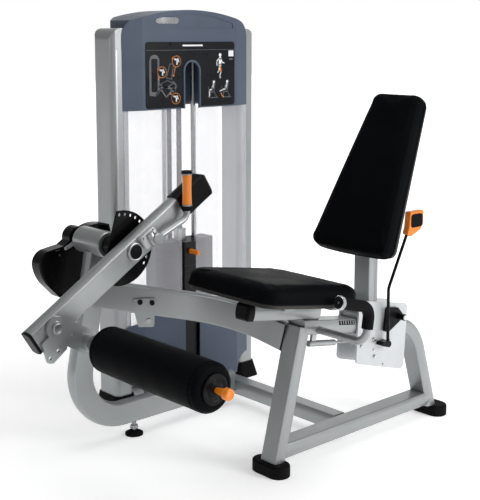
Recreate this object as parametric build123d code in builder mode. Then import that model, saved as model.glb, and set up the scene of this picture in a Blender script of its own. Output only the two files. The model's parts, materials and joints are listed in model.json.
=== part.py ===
"""Leg extension machine with a selectorised weight tower. Millimetres, +Z up.

The origin is on the floor, under the middle of the machine's bounding box. X runs from the shin
roller towards the backrest, along the tower's width. Y runs from the user towards the tower.
"""
import os
from math import cos, radians, sin

from build123d import *

os.makedirs("parts", exist_ok=True)

# ---- Datums -------------------------------------------------------------------------------------
TOWER_LEFT = -176.55                   # outer face of the left upright
TOWER_BACK = 693.5                     # rear face of the uprights
PIVOT_X, PIVOT_Z = TOWER_LEFT - 263.0, 845.0   # knee axis, along Y
LOOP_Y = TOWER_BACK - 386.0            # centre plane of the front loop tube
LINE_Y = TOWER_BACK - 1055.0           # centre plane of the seat, rail and floor cross tube

# ---- Frame tube ---------------------------------------------------------------------------------
WALL = 3.0
TUBE_WIDE, TUBE_THICK = 90.0, 57.0     # legs, rail and base
BIG_WIDE = 100.0                       # loop, beam and movement arm
BULGE, CORNER = 7.0, 6.0

# ---- Tower --------------------------------------------------------------------------------------
TOWER_WIDTH = 825.0
TOWER_MID = TOWER_LEFT + TOWER_WIDTH / 2
UPRIGHT_W, UPRIGHT_D, UPRIGHT_ROUND = 94.0, 143.0, 26.0
UPRIGHT_BOTTOM, CAP_SEAM = 28.0, 1600.0
TOWER_FRONT = TOWER_BACK - UPRIGHT_D
HOOD_HALF = TOWER_WIDTH / 2 - UPRIGHT_W - 1.0   # between the uprights
COVER_HALF, COVER_FLAT = 362.5, 274.5  # where the covers lap over the uprights' fronts
HOOD_TOP, HOOD_SHOULDER, HOOD_BOTTOM = 1775.0, 1712.0, 1338.0
HOOD_ROUND = 80.0
FRONT_PROUD, REAR_PROUD, HOOD_CHAMFER, SHELL = 30.0, 52.0, 54.0, 4.0
HOOD_SEAM_Y = TOWER_BACK - 47.0
SLOT_W, SLOT_TOP = 82.0, 1545.0
SHROUD_BOTTOM, SHROUD_EDGE, SHROUD_CROWN = 46.0, 380.0, 430.0

# ---- Weight stack -------------------------------------------------------------------------------
STACK_Y = TOWER_BACK - 80.0
PLATE_W, PLATE_D, PLATE_T, PLATE_PITCH = 340.0, 84.0, 26.5, 27.0
LOWER_PLATES = 20
STACK_BASE = 126.0
ROD_SPACING, ROD_D = 170.0, 25.0
STEM_D, PIN_D = 28.0, 10.0
LIP_W, LIP_REACH = 70.0, 36.0
PIN_Z = STACK_BASE + LOWER_PLATES * PLATE_PITCH + PLATE_T / 2
HEAD_Z = STACK_BASE + (LOWER_PLATES + 1) * PLATE_PITCH
HEAD_T = 30.0
CLAMP_TOP = HEAD_Z + HEAD_T + 52.0
PULLEY_R, PULLEY_W, PULLEY_Z = 35.0, 34.0, 1500.0
BELT_W, BELT_T = 28.0, 3.0
PULLEY_Y = STACK_Y + PULLEY_R + BELT_T / 2 + 0.4

# ---- Movement arm -------------------------------------------------------------------------------
ARM_ANGLE = 32.0
ARM_NEAR_Y = TOWER_BACK - 642.0
ARM_FAR_Y = ARM_NEAR_Y + TUBE_THICK
ARM_LOW, ARM_HIGH = -515.0, 270.0      # ends of the bare tube, along the arm from the pivot
SLEEVE_END = 445.0
SHAFT_D = 40.0
HOUSING_D, HOUSING_FAR, HOUSING_NEAR = 106.0, TOWER_BACK - 295.0, TOWER_BACK - 470.0
CAM_FAR, CAM_NEAR = TOWER_BACK - 206.0, TOWER_BACK - 262.0
ROM_R, ROM_Y, ROM_T = 148.0, TOWER_BACK - 548.0, 8.0
ROLLER_X, ROLLER_Z = TOWER_LEFT - 490.0, 540.0
LINK_X, LINK_Z = TOWER_LEFT - 622.0, 616.0
ROLLER_D, ROLLER_FAR, ROLLER_NEAR = 172.0, TOWER_BACK - 765.0, TOWER_BACK - 1362.0
AXLE_D = 36.0
KNOB_D, KNOB_L = 40.0, 22.0

# ---- Seat rail, seat and backrest, in the rail's own tilted plane ---------------------------------
RAIL_TILT = 9.4
RAIL_X, RAIL_Z = TOWER_LEFT + 203.0, 552.0
SEAT_TOP, SEAT_BOTTOM = 190.0, 125.0
SEAT_FRONT, SEAT_REAR, SEAT_WIDTH = -420.0, 95.0, 490.0
CARRIAGE_FRONT, CARRIAGE_REAR = 285.0, 622.0
CARRIAGE_LOW, CARRIAGE_HIGH = -189.0, 105.0
PLATE_GAP, PLATE_SHEET = 46.0, 8.0     # half gap between the carriage plates, and their thickness
POST_X, POST_BEND_Z = TOWER_LEFT + 600.0, 800.0
BACK_TILT = 26.7
BACK_X, BACK_Z = TOWER_LEFT + 478.0, 850.0   # a point of the back pad's front face
BACK_LOW, BACK_HIGH, BACK_T = -38.0, 660.0, 72.0
BACK_WIDE, BACK_NARROW, BACK_BOW = 428.0, 250.0, 8.0

# ---- Floor frame --------------------------------------------------------------------------------
BASE_X, BASE_Z = TOWER_LEFT + 497.0, 80.0
BASE_WIDE, BASE_HIGH = 76.0, 66.0
CROSS_Z = 84.0
FRONT_FOOT_X, REAR_FOOT_X = TOWER_LEFT + 63.0, TOWER_LEFT + 1043.0
FOOT_W, FOOT_L, FOOT_H = 90.0, 170.0, 48.0


def tube_section(plane, wide, thick, wall=WALL):
    """Hollow tube section: flat sides of length wide along the plane's x, bowed narrow ends."""
    half_w, half_t = wide / 2, thick / 2
    with BuildSketch(plane) as section:
        with BuildLine():
            Line((-half_w + BULGE, -half_t), (half_w - BULGE, -half_t))
            ThreePointArc((half_w - BULGE, -half_t), (half_w, 0), (half_w - BULGE, half_t))
            Line((half_w - BULGE, half_t), (-half_w + BULGE, half_t))
            ThreePointArc((-half_w + BULGE, half_t), (-half_w, 0), (-half_w + BULGE, -half_t))
        make_face()
        fillet(section.vertices(), radius=CORNER)
        if wall:
            offset(amount=-wall, kind=Kind.INTERSECTION, mode=Mode.SUBTRACT)
    return section.sketch


def route(points, radius):
    """Straight runs through the points, joined by tangent arcs of one radius."""
    points = [Vector(*point) for point in points]
    with BuildLine() as line:
        start = points[0]
        for before, corner, after in zip(points, points[1:], points[2:]):
            back = (before - corner).normalized()
            ahead = (after - corner).normalized()
            half_turn = radians(180 - back.get_angle(ahead)) / 2
            reach = radius * sin(half_turn) / cos(half_turn)
            middle = (back + ahead).normalized()
            nearest = radius / cos(half_turn) - radius
            Line(start, corner + back * reach)
            ThreePointArc(corner + back * reach, corner + middle * nearest, corner + ahead * reach)
            start = corner + ahead * reach
        Line(start, points[-1])
    return line.line


def bent_tube(points, radius, wide, thick, across, wall=WALL):
    """A tube swept along a route; across is the direction of its wide side at the first point."""
    path = route(points, radius)
    start = Plane(origin=path @ 0, x_dir=across, z_dir=path % 0)
    with BuildPart() as tube:
        sweep(sections=tube_section(start, wide, thick, wall), path=path)
    return tube.part


def round_tube(points, radius, outer, bore=0.0):
    """A round bar or tube of the given radii, swept along a route."""
    path = route(points, radius) if len(points) > 2 else Line(*points, mode=Mode.PRIVATE)
    with BuildPart() as tube:
        with BuildSketch(Plane(origin=path @ 0, z_dir=path % 0)) as section:
            Circle(outer)
            if bore:
                Circle(bore, mode=Mode.SUBTRACT)
        sweep(sections=section.sketch, path=path)
    return tube.part


def largest_piece(builder):
    """The biggest solid of a part that other tubes have cut through."""
    return Part(builder.part.solids().sort_by(SortBy.VOLUME)[-1].wrapped)


def rail_point(along, above, y=LINE_Y):
    """A point of the seat rail's tilted frame, measured from the top of the front leg."""
    tilt = radians(RAIL_TILT)
    return (RAIL_X + along * cos(tilt) + above * sin(tilt), y, RAIL_Z - along * sin(tilt) + above * cos(tilt))


def arm_point(along, above, y=ARM_NEAR_Y):
    """A point of the movement arm's tilted frame, measured from the knee axis."""
    lean = radians(ARM_ANGLE)
    return (PIVOT_X + along * cos(lean) - above * sin(lean), y, PIVOT_Z + along * sin(lean) + above * cos(lean))


def back_point(along, behind, y=LINE_Y):
    """A point of the backrest's tilted frame: along the pad, and behind its front face."""
    lean = radians(BACK_TILT)
    return (BACK_X + along * sin(lean) + behind * cos(lean), y, BACK_Z + along * cos(lean) - behind * sin(lean))


def side_plane(y):
    """A plane facing -Y, with x along X and y along Z."""
    return Plane(origin=(0, y, 0), x_dir=(1, 0, 0), z_dir=(0, -1, 0))


def rail_plane(y):
    """The side plane turned along the seat rail, with its origin at the top of the front leg."""
    tilt = radians(RAIL_TILT)
    return Plane(origin=(RAIL_X, y, RAIL_Z), x_dir=(cos(tilt), 0, -sin(tilt)), z_dir=(0, -1, 0))


def rail_top_plane(above):
    """A plane parallel to the rail's top, with x along the rail and y along Y."""
    tilt = radians(RAIL_TILT)
    return Plane(origin=rail_point(0, above), x_dir=(cos(tilt), 0, -sin(tilt)), z_dir=(sin(tilt), 0, cos(tilt)))


def back_plane(behind):
    """A plane parallel to the back pad, facing backwards, with y up along the pad."""
    lean = radians(BACK_TILT)
    return Plane(origin=back_point(0, behind), x_dir=(0, 1, 0), z_dir=(cos(lean), 0, -sin(lean)))


def tower_arch(edge_z, crown_z, half, bottom, y, shoulder):
    """Front outline of a tower panel with an arched top and rounded shoulders."""
    with BuildSketch(side_plane(y)) as outline:
        with BuildLine():
            Polyline((TOWER_MID - half, edge_z), (TOWER_MID - half, bottom), (TOWER_MID + half, bottom),
                     (TOWER_MID + half, edge_z))
            ThreePointArc((TOWER_MID - half, edge_z), (TOWER_MID, crown_z), (TOWER_MID + half, edge_z))
        make_face()
        fillet(outline.vertices().sort_by(Axis.Y)[-2:], radius=shoulder)
    return outline.sketch


def hood_plan(side, inset, seam_y, z):
    """Plan of one hood half: side is -1 for the front, which laps over the uprights, and 1 for the rear."""
    half, flat = HOOD_HALF - inset, HOOD_HALF - HOOD_CHAMFER
    face_y = TOWER_BACK + REAR_PROUD - inset
    edge = [(half, TOWER_BACK)]
    if side < 0:
        flat, face_y = COVER_FLAT, TOWER_FRONT - FRONT_PROUD + inset
        lap_y = TOWER_FRONT - 1
        fall = (lap_y - TOWER_FRONT + FRONT_PROUD) / (COVER_HALF - COVER_FLAT)
        edge = [(half, lap_y - fall * (COVER_HALF - half) + inset)] if inset else [(half, lap_y), (COVER_HALF, lap_y)]
    right = [(half, seam_y)] + edge + [(flat, face_y)]
    with BuildSketch(Plane.XY.offset(z)) as plan:
        with BuildLine():
            Polyline(*[(TOWER_MID - x, y) for x, y in right], *[(TOWER_MID + x, y) for x, y in reversed(right)],
                     close=True)
        make_face()
    return plan.sketch


def hood_block(side, inset, seam_y):
    """Solid hood half with an arched top, made smaller by inset."""
    with BuildPart() as block:
        extrude(hood_plan(side, inset, seam_y, HOOD_BOTTOM), amount=HOOD_TOP - HOOD_BOTTOM)
        extrude(tower_arch(HOOD_SHOULDER - inset, HOOD_TOP - inset, COVER_HALF - inset, HOOD_BOTTOM, TOWER_FRONT,
                           HOOD_ROUND - inset), amount=300, both=True, mode=Mode.INTERSECT)
    return block.part


def upright_plan(z, grow=0.0):
    """Outline of the left upright, made larger all round by grow."""
    with BuildSketch(Plane.XY.offset(z)) as plan:
        with Locations((TOWER_LEFT + UPRIGHT_W / 2, TOWER_BACK - UPRIGHT_D / 2)):
            RectangleRounded(UPRIGHT_W + 2 * grow, UPRIGHT_D + 2 * grow, UPRIGHT_ROUND + grow)
    return plan.sketch


# ==== Tower frame ================================================================================
with BuildPart() as tower_uprights:
    extrude(upright_plan(UPRIGHT_BOTTOM), amount=CAP_SEAM - UPRIGHT_BOTTOM)
    extrude(upright_plan(UPRIGHT_BOTTOM, -WALL), amount=CAP_SEAM - UPRIGHT_BOTTOM, mode=Mode.SUBTRACT)
    mirror(about=Plane.YZ.offset(TOWER_MID))
tower_uprights.part.label = "tower_uprights"
export_step(tower_uprights.part, "parts/tower_uprights.step")

# Shoulder caps that close the uprights and round off into the hood.
with BuildPart() as upright_caps:
    with BuildSketch(side_plane(TOWER_FRONT + 1)) as cap_outline:
        with BuildLine():
            Polyline((TOWER_LEFT, 1642), (TOWER_LEFT, CAP_SEAM), (TOWER_LEFT + UPRIGHT_W, CAP_SEAM),
                     (TOWER_LEFT + UPRIGHT_W, 1670))
            ThreePointArc((TOWER_LEFT, 1642), (TOWER_LEFT + 38, 1692), (TOWER_LEFT + UPRIGHT_W, 1670))
        make_face()
    extrude(amount=-(UPRIGHT_D - 2))
    extrude(upright_plan(CAP_SEAM), amount=UPRIGHT_D, mode=Mode.INTERSECT)
    mirror(about=Plane.YZ.offset(TOWER_MID))
upright_caps.part.label = "upright_caps"
export_step(upright_caps.part, "parts/upright_caps.step")

# Bottom beam and top beam; the top one carries two hangers for the belt pulley.
BOTTOM_BEAM_Z, BOTTOM_BEAM_H, BEAM_DEPTH = 60.0, 60.0, 70.0
TOP_BEAM_Z, TOP_BEAM_H = 1580.0, 50.0
with BuildPart() as tower_crossmembers:
    span = TOWER_WIDTH - 2 * UPRIGHT_W
    for beam_z, beam_h in ((BOTTOM_BEAM_Z, BOTTOM_BEAM_H), (TOP_BEAM_Z, TOP_BEAM_H)):
        with BuildSketch(Plane.YZ.offset(TOWER_MID - span / 2)) as beam_section:
            with Locations((STACK_Y, beam_z)):
                RectangleRounded(BEAM_DEPTH, beam_h, 8)
                RectangleRounded(BEAM_DEPTH - 2 * WALL, beam_h - 2 * WALL, 5, mode=Mode.SUBTRACT)
        extrude(amount=span)
    with BuildSketch(Plane.XY.offset(PULLEY_Z - 20)) as hanger_section:
        with Locations((TOWER_MID - 23, PULLEY_Y - 8), (TOWER_MID + 23, PULLEY_Y - 8)):
            Rectangle(6, 34)
    extrude(amount=TOP_BEAM_Z - TOP_BEAM_H / 2 - PULLEY_Z + 21)
    with BuildSketch(Plane.YZ.offset(TOWER_MID - 30)) as hanger_hole:
        with Locations((PULLEY_Y, PULLEY_Z)):
            Circle(8.1)
    extrude(amount=60, mode=Mode.SUBTRACT)
tower_crossmembers.part.label = "tower_crossmembers"
export_step(tower_crossmembers.part, "parts/tower_crossmembers.step")

# Moulded feet around the bottoms of the uprights.
with BuildPart() as tower_feet:
    foot_x, foot_y = TOWER_LEFT + UPRIGHT_W / 2, TOWER_BACK - UPRIGHT_D / 2
    with BuildSketch(Plane.XY) as foot_base:
        with Locations((foot_x, foot_y - 6)):
            RectangleRounded(UPRIGHT_W + 32, UPRIGHT_D + 50, 32)
    with BuildSketch(Plane.XY.offset(72)) as foot_top:
        with Locations((foot_x, foot_y)):
            RectangleRounded(UPRIGHT_W + 12, UPRIGHT_D + 14, 32)
    loft()
    extrude(upright_plan(UPRIGHT_BOTTOM, 0.5), amount=60, mode=Mode.SUBTRACT)
    mirror(about=Plane.YZ.offset(TOWER_MID))
    with BuildSketch(Plane.YZ.offset(TOWER_MID - 400)) as beam_clearance:
        with Locations((STACK_Y, BOTTOM_BEAM_Z)):
            Rectangle(BEAM_DEPTH + 1, BOTTOM_BEAM_H + 1)
    extrude(amount=800, mode=Mode.SUBTRACT)
tower_feet.part.label = "tower_feet"
export_step(tower_feet.part, "parts/tower_feet.step")

# ==== Tower covers ===============================================================================
def slot_outline(plane, width, top, bottom):
    """A slot with a round top, open at the bottom, centred on the tower."""
    radius = width / 2
    with BuildSketch(plane) as slot:
        with BuildLine():
            Polyline((TOWER_MID - radius, top - radius), (TOWER_MID - radius, bottom),
                     (TOWER_MID + radius, bottom), (TOWER_MID + radius, top - radius))
            ThreePointArc((TOWER_MID - radius, top - radius), (TOWER_MID, top), (TOWER_MID + radius, top - radius))
        make_face()
    return slot.sketch


FACE_Y = TOWER_FRONT - FRONT_PROUD
LEDGE_Z, BAND_INSET, BAND_DEPTH = 1694.0, 16.0, 3.0
with BuildPart() as top_beam_clearance:
    with BuildSketch(Plane.YZ.offset(TOWER_MID)) as clearance_section:
        with Locations((STACK_Y, TOP_BEAM_Z)):
            Rectangle(BEAM_DEPTH + 2, TOP_BEAM_H + 2)
    extrude(amount=TOWER_WIDTH / 2, both=True)

with BuildPart() as front_hood:
    add(hood_block(-1, 0, HOOD_SEAM_Y))
    add(hood_block(-1, SHELL, HOOD_SEAM_Y), mode=Mode.SUBTRACT)
    add(top_beam_clearance.part, mode=Mode.SUBTRACT)
    extrude(slot_outline(side_plane(FACE_Y - 10), SLOT_W, SLOT_TOP, HOOD_BOTTOM - 1), amount=-20, mode=Mode.SUBTRACT)
    with BuildSketch(side_plane(FACE_Y)) as band:
        with BuildLine():
            band_half = 250.0
            Polyline((TOWER_MID - band_half, 1716), (TOWER_MID - band_half, LEDGE_Z),
                     (TOWER_MID + band_half, LEDGE_Z), (TOWER_MID + band_half, 1716))
            ThreePointArc((TOWER_MID - band_half, 1716), (TOWER_MID, HOOD_TOP - BAND_INSET),
                          (TOWER_MID + band_half, 1716))
        make_face()
    extrude(amount=-BAND_DEPTH, mode=Mode.SUBTRACT)
front_hood.part.label = "front_hood"
export_step(front_hood.part, "parts/front_hood.step")

with BuildPart() as rear_hood:
    add(hood_block(1, 0, HOOD_SEAM_Y + 1))
    add(hood_block(1, SHELL, HOOD_SEAM_Y + 1), mode=Mode.SUBTRACT)
    add(top_beam_clearance.part, mode=Mode.SUBTRACT)
rear_hood.part.label = "rear_hood"
export_step(rear_hood.part, "parts/rear_hood.step")

BEZEL_W, BEZEL_PROUD = 100.0, 7.0
with BuildPart() as slot_bezel:
    extrude(slot_outline(side_plane(FACE_Y), BEZEL_W, SLOT_TOP + 9, HOOD_BOTTOM), amount=BEZEL_PROUD)
    extrude(slot_outline(side_plane(FACE_Y - 10), SLOT_W, SLOT_TOP, HOOD_BOTTOM - 1), amount=-20, mode=Mode.SUBTRACT)
    fillet(slot_bezel.edges().group_by(Axis.Y)[0], radius=2)
slot_bezel.part.label = "slot_bezel"
export_step(slot_bezel.part, "parts/slot_bezel.step")

PLACARD_HALF, PLACARD_TOP, PLACARD_T = 258.0, 1634.0, 2.5
with BuildPart() as instruction_placard:
    with BuildSketch(side_plane(FACE_Y)) as placard:
        with BuildLine():
            FilletPolyline((TOWER_MID - PLACARD_HALF, HOOD_BOTTOM + 6), (TOWER_MID - PLACARD_HALF, PLACARD_TOP),
                           (TOWER_MID + PLACARD_HALF, PLACARD_TOP), (TOWER_MID + PLACARD_HALF, HOOD_BOTTOM + 6),
                           radius=14, close=True)
        make_face()
    extrude(amount=PLACARD_T)
    extrude(slot_outline(side_plane(FACE_Y), BEZEL_W + 2, SLOT_TOP + 10, HOOD_BOTTOM), amount=PLACARD_T,
            mode=Mode.SUBTRACT)
instruction_placard.part.label = "instruction_placard"
export_step(instruction_placard.part, "parts/instruction_placard.step")

SHIELD_T, SHIELD_BOTTOM, SHIELD_TOP = 4.0, 330.0, HOOD_BOTTOM - 1
with BuildPart() as front_shields:
    shield_w = COVER_HALF - 4.5 - SLOT_W / 2
    shield_x = SLOT_W / 2 + shield_w / 2
    with BuildSketch(side_plane(TOWER_FRONT - 0.4)) as shields:
        with Locations((TOWER_MID - shield_x, (SHIELD_BOTTOM + SHIELD_TOP) / 2),
                       (TOWER_MID + shield_x, (SHIELD_BOTTOM + SHIELD_TOP) / 2)):
            RectangleRounded(shield_w, SHIELD_TOP - SHIELD_BOTTOM, 3)
    extrude(amount=SHIELD_T)
front_shields.part.label = "front_shields"
export_step(front_shields.part, "parts/front_shields.step")

with BuildPart() as rear_shield:
    with BuildSketch(side_plane(TOWER_BACK + REAR_PROUD - SHELL - 1)) as shield:
        with Locations((TOWER_MID, 716)):
            RectangleRounded(2 * (HOOD_HALF - HOOD_CHAMFER), 1268, 6)
    extrude(amount=SHIELD_T)
    with BuildSketch(Plane.XY.offset(82)) as flange:
        for side in (-1, 1):
            with BuildLine():
                Polyline((TOWER_MID + side * (HOOD_HALF - HOOD_CHAMFER), TOWER_BACK + REAR_PROUD - SHELL - 1),
                         (TOWER_MID + side * (HOOD_HALF - SHELL - 1), TOWER_BACK),
                         (TOWER_MID + side * (HOOD_HALF - SHELL - 7), TOWER_BACK),
                         (TOWER_MID + side * (HOOD_HALF - HOOD_CHAMFER - 2),
                          TOWER_BACK + REAR_PROUD - 2 * SHELL - 1), close=True)
            make_face()
    extrude(amount=1268)
rear_shield.part.label = "rear_shield"
export_step(rear_shield.part, "parts/rear_shield.step")

with BuildPart() as lower_shrouds:
    with BuildSketch(Plane.XY.offset(SHROUD_BOTTOM)) as shroud_plan:
        with BuildLine():
            flat = COVER_FLAT
            Polyline((TOWER_MID - COVER_HALF, TOWER_FRONT - 5), (TOWER_MID - flat, FACE_Y),
                     (TOWER_MID - SLOT_W / 2 - 2, FACE_Y), (TOWER_MID - SLOT_W / 2 - 2, FACE_Y + SHELL),
                     (TOWER_MID - flat + 2, FACE_Y + SHELL), (TOWER_MID - COVER_HALF + 14, TOWER_FRONT - 5),
                     close=True)
        make_face()
    extrude(amount=SHROUD_CROWN - SHROUD_BOTTOM)
    with BuildSketch(side_plane(TOWER_FRONT)) as shroud_front:
        with BuildLine():
            corner = 85.0
            Line((TOWER_MID - COVER_HALF, SHROUD_EDGE), (TOWER_MID - COVER_HALF, SHROUD_BOTTOM + corner))
            RadiusArc((TOWER_MID - COVER_HALF, SHROUD_BOTTOM + corner),
                      (TOWER_MID - COVER_HALF + corner, SHROUD_BOTTOM), corner)
            Polyline((TOWER_MID - COVER_HALF + corner, SHROUD_BOTTOM), (TOWER_MID, SHROUD_BOTTOM),
                     (TOWER_MID, SHROUD_CROWN))
            ThreePointArc((TOWER_MID, SHROUD_CROWN), (TOWER_MID - COVER_HALF / 2, SHROUD_CROWN - 17),
                          (TOWER_MID - COVER_HALF, SHROUD_EDGE))
        make_face()
    extrude(amount=60, mode=Mode.INTERSECT)
    mirror(about=Plane.YZ.offset(TOWER_MID))
    with BuildSketch(side_plane(TOWER_FRONT)) as base_tube_notch:
        with Locations((BASE_X, BASE_Z - 20)):
            Rectangle(BASE_WIDE + 6, BASE_HIGH + 46)
    extrude(amount=60, mode=Mode.SUBTRACT)
lower_shrouds.part.label = "lower_shrouds"
export_step(lower_shrouds.part, "parts/lower_shrouds.step")

# ==== Weight stack ===============================================================================
with BuildPart() as guide_rods:
    with BuildSketch(Plane.XY.offset(BOTTOM_BEAM_Z + BOTTOM_BEAM_H / 2)) as rods:
        with Locations((TOWER_MID, STACK_Y)), GridLocations(ROD_SPACING, 0, 2, 1):
            Circle(ROD_D / 2)
    extrude(amount=TOP_BEAM_Z - TOP_BEAM_H / 2 - BOTTOM_BEAM_Z - BOTTOM_BEAM_H / 2)
    with BuildSketch(Plane.XY.offset(BOTTOM_BEAM_Z + BOTTOM_BEAM_H / 2)) as bumpers:
        with Locations((TOWER_MID, STACK_Y)), GridLocations(ROD_SPACING, 0, 2, 1):
            Circle(32)
    extrude(amount=STACK_BASE - BOTTOM_BEAM_Z - BOTTOM_BEAM_H / 2 - 0.5)
guide_rods.part.label = "guide_rods"
export_step(guide_rods.part, "parts/guide_rods.step")


def weight_plate(bottom, thickness, bore, pin_z=None):
    """One plate with its guide holes, its bore for the stem and its front lip."""
    with BuildPart() as plate:
        with BuildSketch(Plane.XY.offset(bottom)) as outline:
            with Locations((TOWER_MID, STACK_Y)):
                RectangleRounded(PLATE_W, PLATE_D, 8)
            with Locations((TOWER_MID, STACK_Y - PLATE_D / 2 - LIP_REACH / 2 + 5)):
                RectangleRounded(LIP_W, LIP_REACH + 10, 4)
            with Locations((TOWER_MID, STACK_Y)), GridLocations(ROD_SPACING, 0, 2, 1):
                Circle(ROD_D / 2 + 2, mode=Mode.SUBTRACT)
            if bore:
                with Locations((TOWER_MID, STACK_Y)):
                    Circle(bore / 2, mode=Mode.SUBTRACT)
        extrude(amount=thickness)
        if pin_z:
            with BuildSketch(side_plane(STACK_Y)) as pin_hole:
                with Locations((TOWER_MID, pin_z)):
                    Circle(PIN_D / 2 + 0.08)
            extrude(amount=200, mode=Mode.SUBTRACT)
    return plate.part


with BuildPart() as lower_weight_plates:
    for index in range(LOWER_PLATES):
        add(weight_plate(STACK_BASE + index * PLATE_PITCH, PLATE_T, STEM_D + 4))
lower_weight_plates.part.label = "lower_weight_plates"
export_step(lower_weight_plates.part, "parts/lower_weight_plates.step")

with BuildPart() as lifted_weight_plates:
    add(weight_plate(STACK_BASE + LOWER_PLATES * PLATE_PITCH, PLATE_T, STEM_D, PIN_Z))
    add(weight_plate(HEAD_Z, HEAD_T, STEM_D))
lifted_weight_plates.part.label = "lifted_weight_plates"
export_step(lifted_weight_plates.part, "parts/lifted_weight_plates.step")

STEM_BOTTOM = 180.0
with BuildPart() as selector_stem:
    with BuildSketch(Plane.XY.offset(STEM_BOTTOM)) as stem:
        with Locations((TOWER_MID, STACK_Y)):
            Circle(STEM_D / 2)
    extrude(amount=HEAD_Z + HEAD_T - STEM_BOTTOM)
    with BuildSketch(Plane.XY.offset(HEAD_Z + HEAD_T)) as clamp:
        with Locations((TOWER_MID, STACK_Y)):
            RectangleRounded(50, 34, 5)
    extrude(amount=CLAMP_TOP - HEAD_Z - HEAD_T)
    with BuildSketch(side_plane(STACK_Y)) as stem_hole:
        with Locations((TOWER_MID, PIN_Z)):
            Circle(PIN_D / 2 + 0.08)
    extrude(amount=30, both=True, mode=Mode.SUBTRACT)
selector_stem.part.label = "selector_stem"
export_step(selector_stem.part, "parts/selector_stem.step")

LIP_Y = STACK_Y - PLATE_D / 2 - LIP_REACH
with BuildPart() as selector_pin:
    with BuildSketch(side_plane(LIP_Y)) as pin:
        with Locations((TOWER_MID, PIN_Z)):
            Circle(PIN_D / 2)
    extrude(amount=-(STACK_Y - LIP_Y + 8))
    with BuildSketch(side_plane(LIP_Y - 1)) as pin_grip:
        with Locations((TOWER_MID, PIN_Z)):
            Circle(11)
    extrude(amount=60)
    fillet(selector_pin.faces().sort_by(Axis.Y)[0].edges(), radius=5)
    with BuildSketch(side_plane(LIP_Y - 14)) as pin_groove:
        with Locations((TOWER_MID, PIN_Z)):
            Circle(13)
            Circle(8, mode=Mode.SUBTRACT)
    extrude(amount=9, mode=Mode.SUBTRACT)
    with BuildSketch(side_plane(LIP_Y)) as pin_neck:
        with Locations((TOWER_MID, PIN_Z)):
            Circle(PIN_D / 2)
    extrude(amount=2)
selector_pin.part.label = "selector_pin"
export_step(selector_pin.part, "parts/selector_pin.step")

with BuildPart() as top_pulley:
    with BuildSketch(Plane.YZ.offset(TOWER_MID - PULLEY_W / 2)) as pulley_disc:
        with Locations((PULLEY_Y, PULLEY_Z)):
            Circle(PULLEY_R)
    extrude(amount=PULLEY_W)
    with BuildSketch(Plane.YZ.offset(TOWER_MID - 27)) as pulley_pin:
        with Locations((PULLEY_Y, PULLEY_Z)):
            Circle(8)
    extrude(amount=54)
top_pulley.part.label = "top_pulley"
export_step(top_pulley.part, "parts/top_pulley.step")


def belt_section(y, z):
    with BuildSketch(Plane.XY.offset(z)) as section:
        with Locations((TOWER_MID, y)):
            Rectangle(BELT_W, BELT_T)
    return section.sketch


# The strand over the stack, which shortens as the stack rises.
with BuildPart() as lift_belt:
    extrude(belt_section(STACK_Y, CLAMP_TOP), amount=PULLEY_Z - CLAMP_TOP)
lift_belt.part.label = "lift_belt"
export_step(lift_belt.part, "parts/lift_belt.step")

# The rest of the belt: over the pulley and down behind the stack into the bottom beam.
BELT_BACK_Y = PULLEY_Y + PULLEY_R + BELT_T / 2
with BuildPart() as return_belt:
    with BuildSketch(Plane.YZ.offset(TOWER_MID - BELT_W / 2)) as belt_side:
        with Locations((PULLEY_Y, PULLEY_Z)):
            Circle(PULLEY_R + BELT_T)
            Circle(PULLEY_R + 0.4, mode=Mode.SUBTRACT)
        with Locations((PULLEY_Y, PULLEY_Z - 50)):
            Rectangle(120, 100, mode=Mode.SUBTRACT)
    extrude(amount=BELT_W)
    extrude(belt_section(BELT_BACK_Y, BOTTOM_BEAM_Z), amount=PULLEY_Z - BOTTOM_BEAM_Z)
return_belt.part.label = "return_belt"
export_step(return_belt.part, "parts/return_belt.step")

# ==== Floor frame ================================================================================
with BuildPart() as base_tube:
    base_start = STACK_Y - BEAM_DEPTH / 2
    base_end = LINE_Y + TUBE_WIDE / 2
    plane = Plane(origin=(BASE_X, base_start, BASE_Z), x_dir=(1, 0, 0), z_dir=(0, -1, 0))
    extrude(tube_section(plane, BASE_WIDE, BASE_HIGH), amount=base_start - base_end)
base_tube.part.label = "base_tube"
export_step(base_tube.part, "parts/base_tube.step")

LEG_BOTTOM = (TOWER_LEFT + 73.0, LINE_Y, FOOT_H)
LEG_TOP = rail_point(0, 0)
LEG_AXIS = (Vector(*LEG_TOP) - Vector(*LEG_BOTTOM)).normalized()


def leg_block(wall):
    plane = Plane(origin=Vector(*LEG_BOTTOM) - LEG_AXIS * 20, x_dir=(0, 1, 0), z_dir=LEG_AXIS)
    with BuildPart() as block:
        extrude(tube_section(plane, TUBE_WIDE, TUBE_THICK, wall),
                amount=(Vector(*LEG_TOP) - Vector(*LEG_BOTTOM)).length + 20)
        with BuildSketch(Plane.XY.offset(FOOT_H)) as floor_cut:
            with Locations((LEG_BOTTOM[0], LINE_Y)):
                Rectangle(400, 400)
        extrude(amount=-100, mode=Mode.SUBTRACT)
    return block.part


RAIL_START = -8.0
RAIL_BEND = rail_point(690.0, 0)
RAIL_END = (TOWER_LEFT + 1012.0, LINE_Y, FOOT_H - 20)


def arch_block(wall):
    with BuildPart() as block:
        add(bent_tube([rail_point(RAIL_START, 0), RAIL_BEND, RAIL_END], 200, TUBE_WIDE, TUBE_THICK, (0, 1, 0), wall))
        with BuildSketch(Plane.XY.offset(FOOT_H)) as floor_cut:
            with Locations((RAIL_END[0], LINE_Y)):
                Rectangle(400, 400)
        extrude(amount=-100, mode=Mode.SUBTRACT)
    return block.part


arch_solid = arch_block(0)
leg_solid = leg_block(0)

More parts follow.
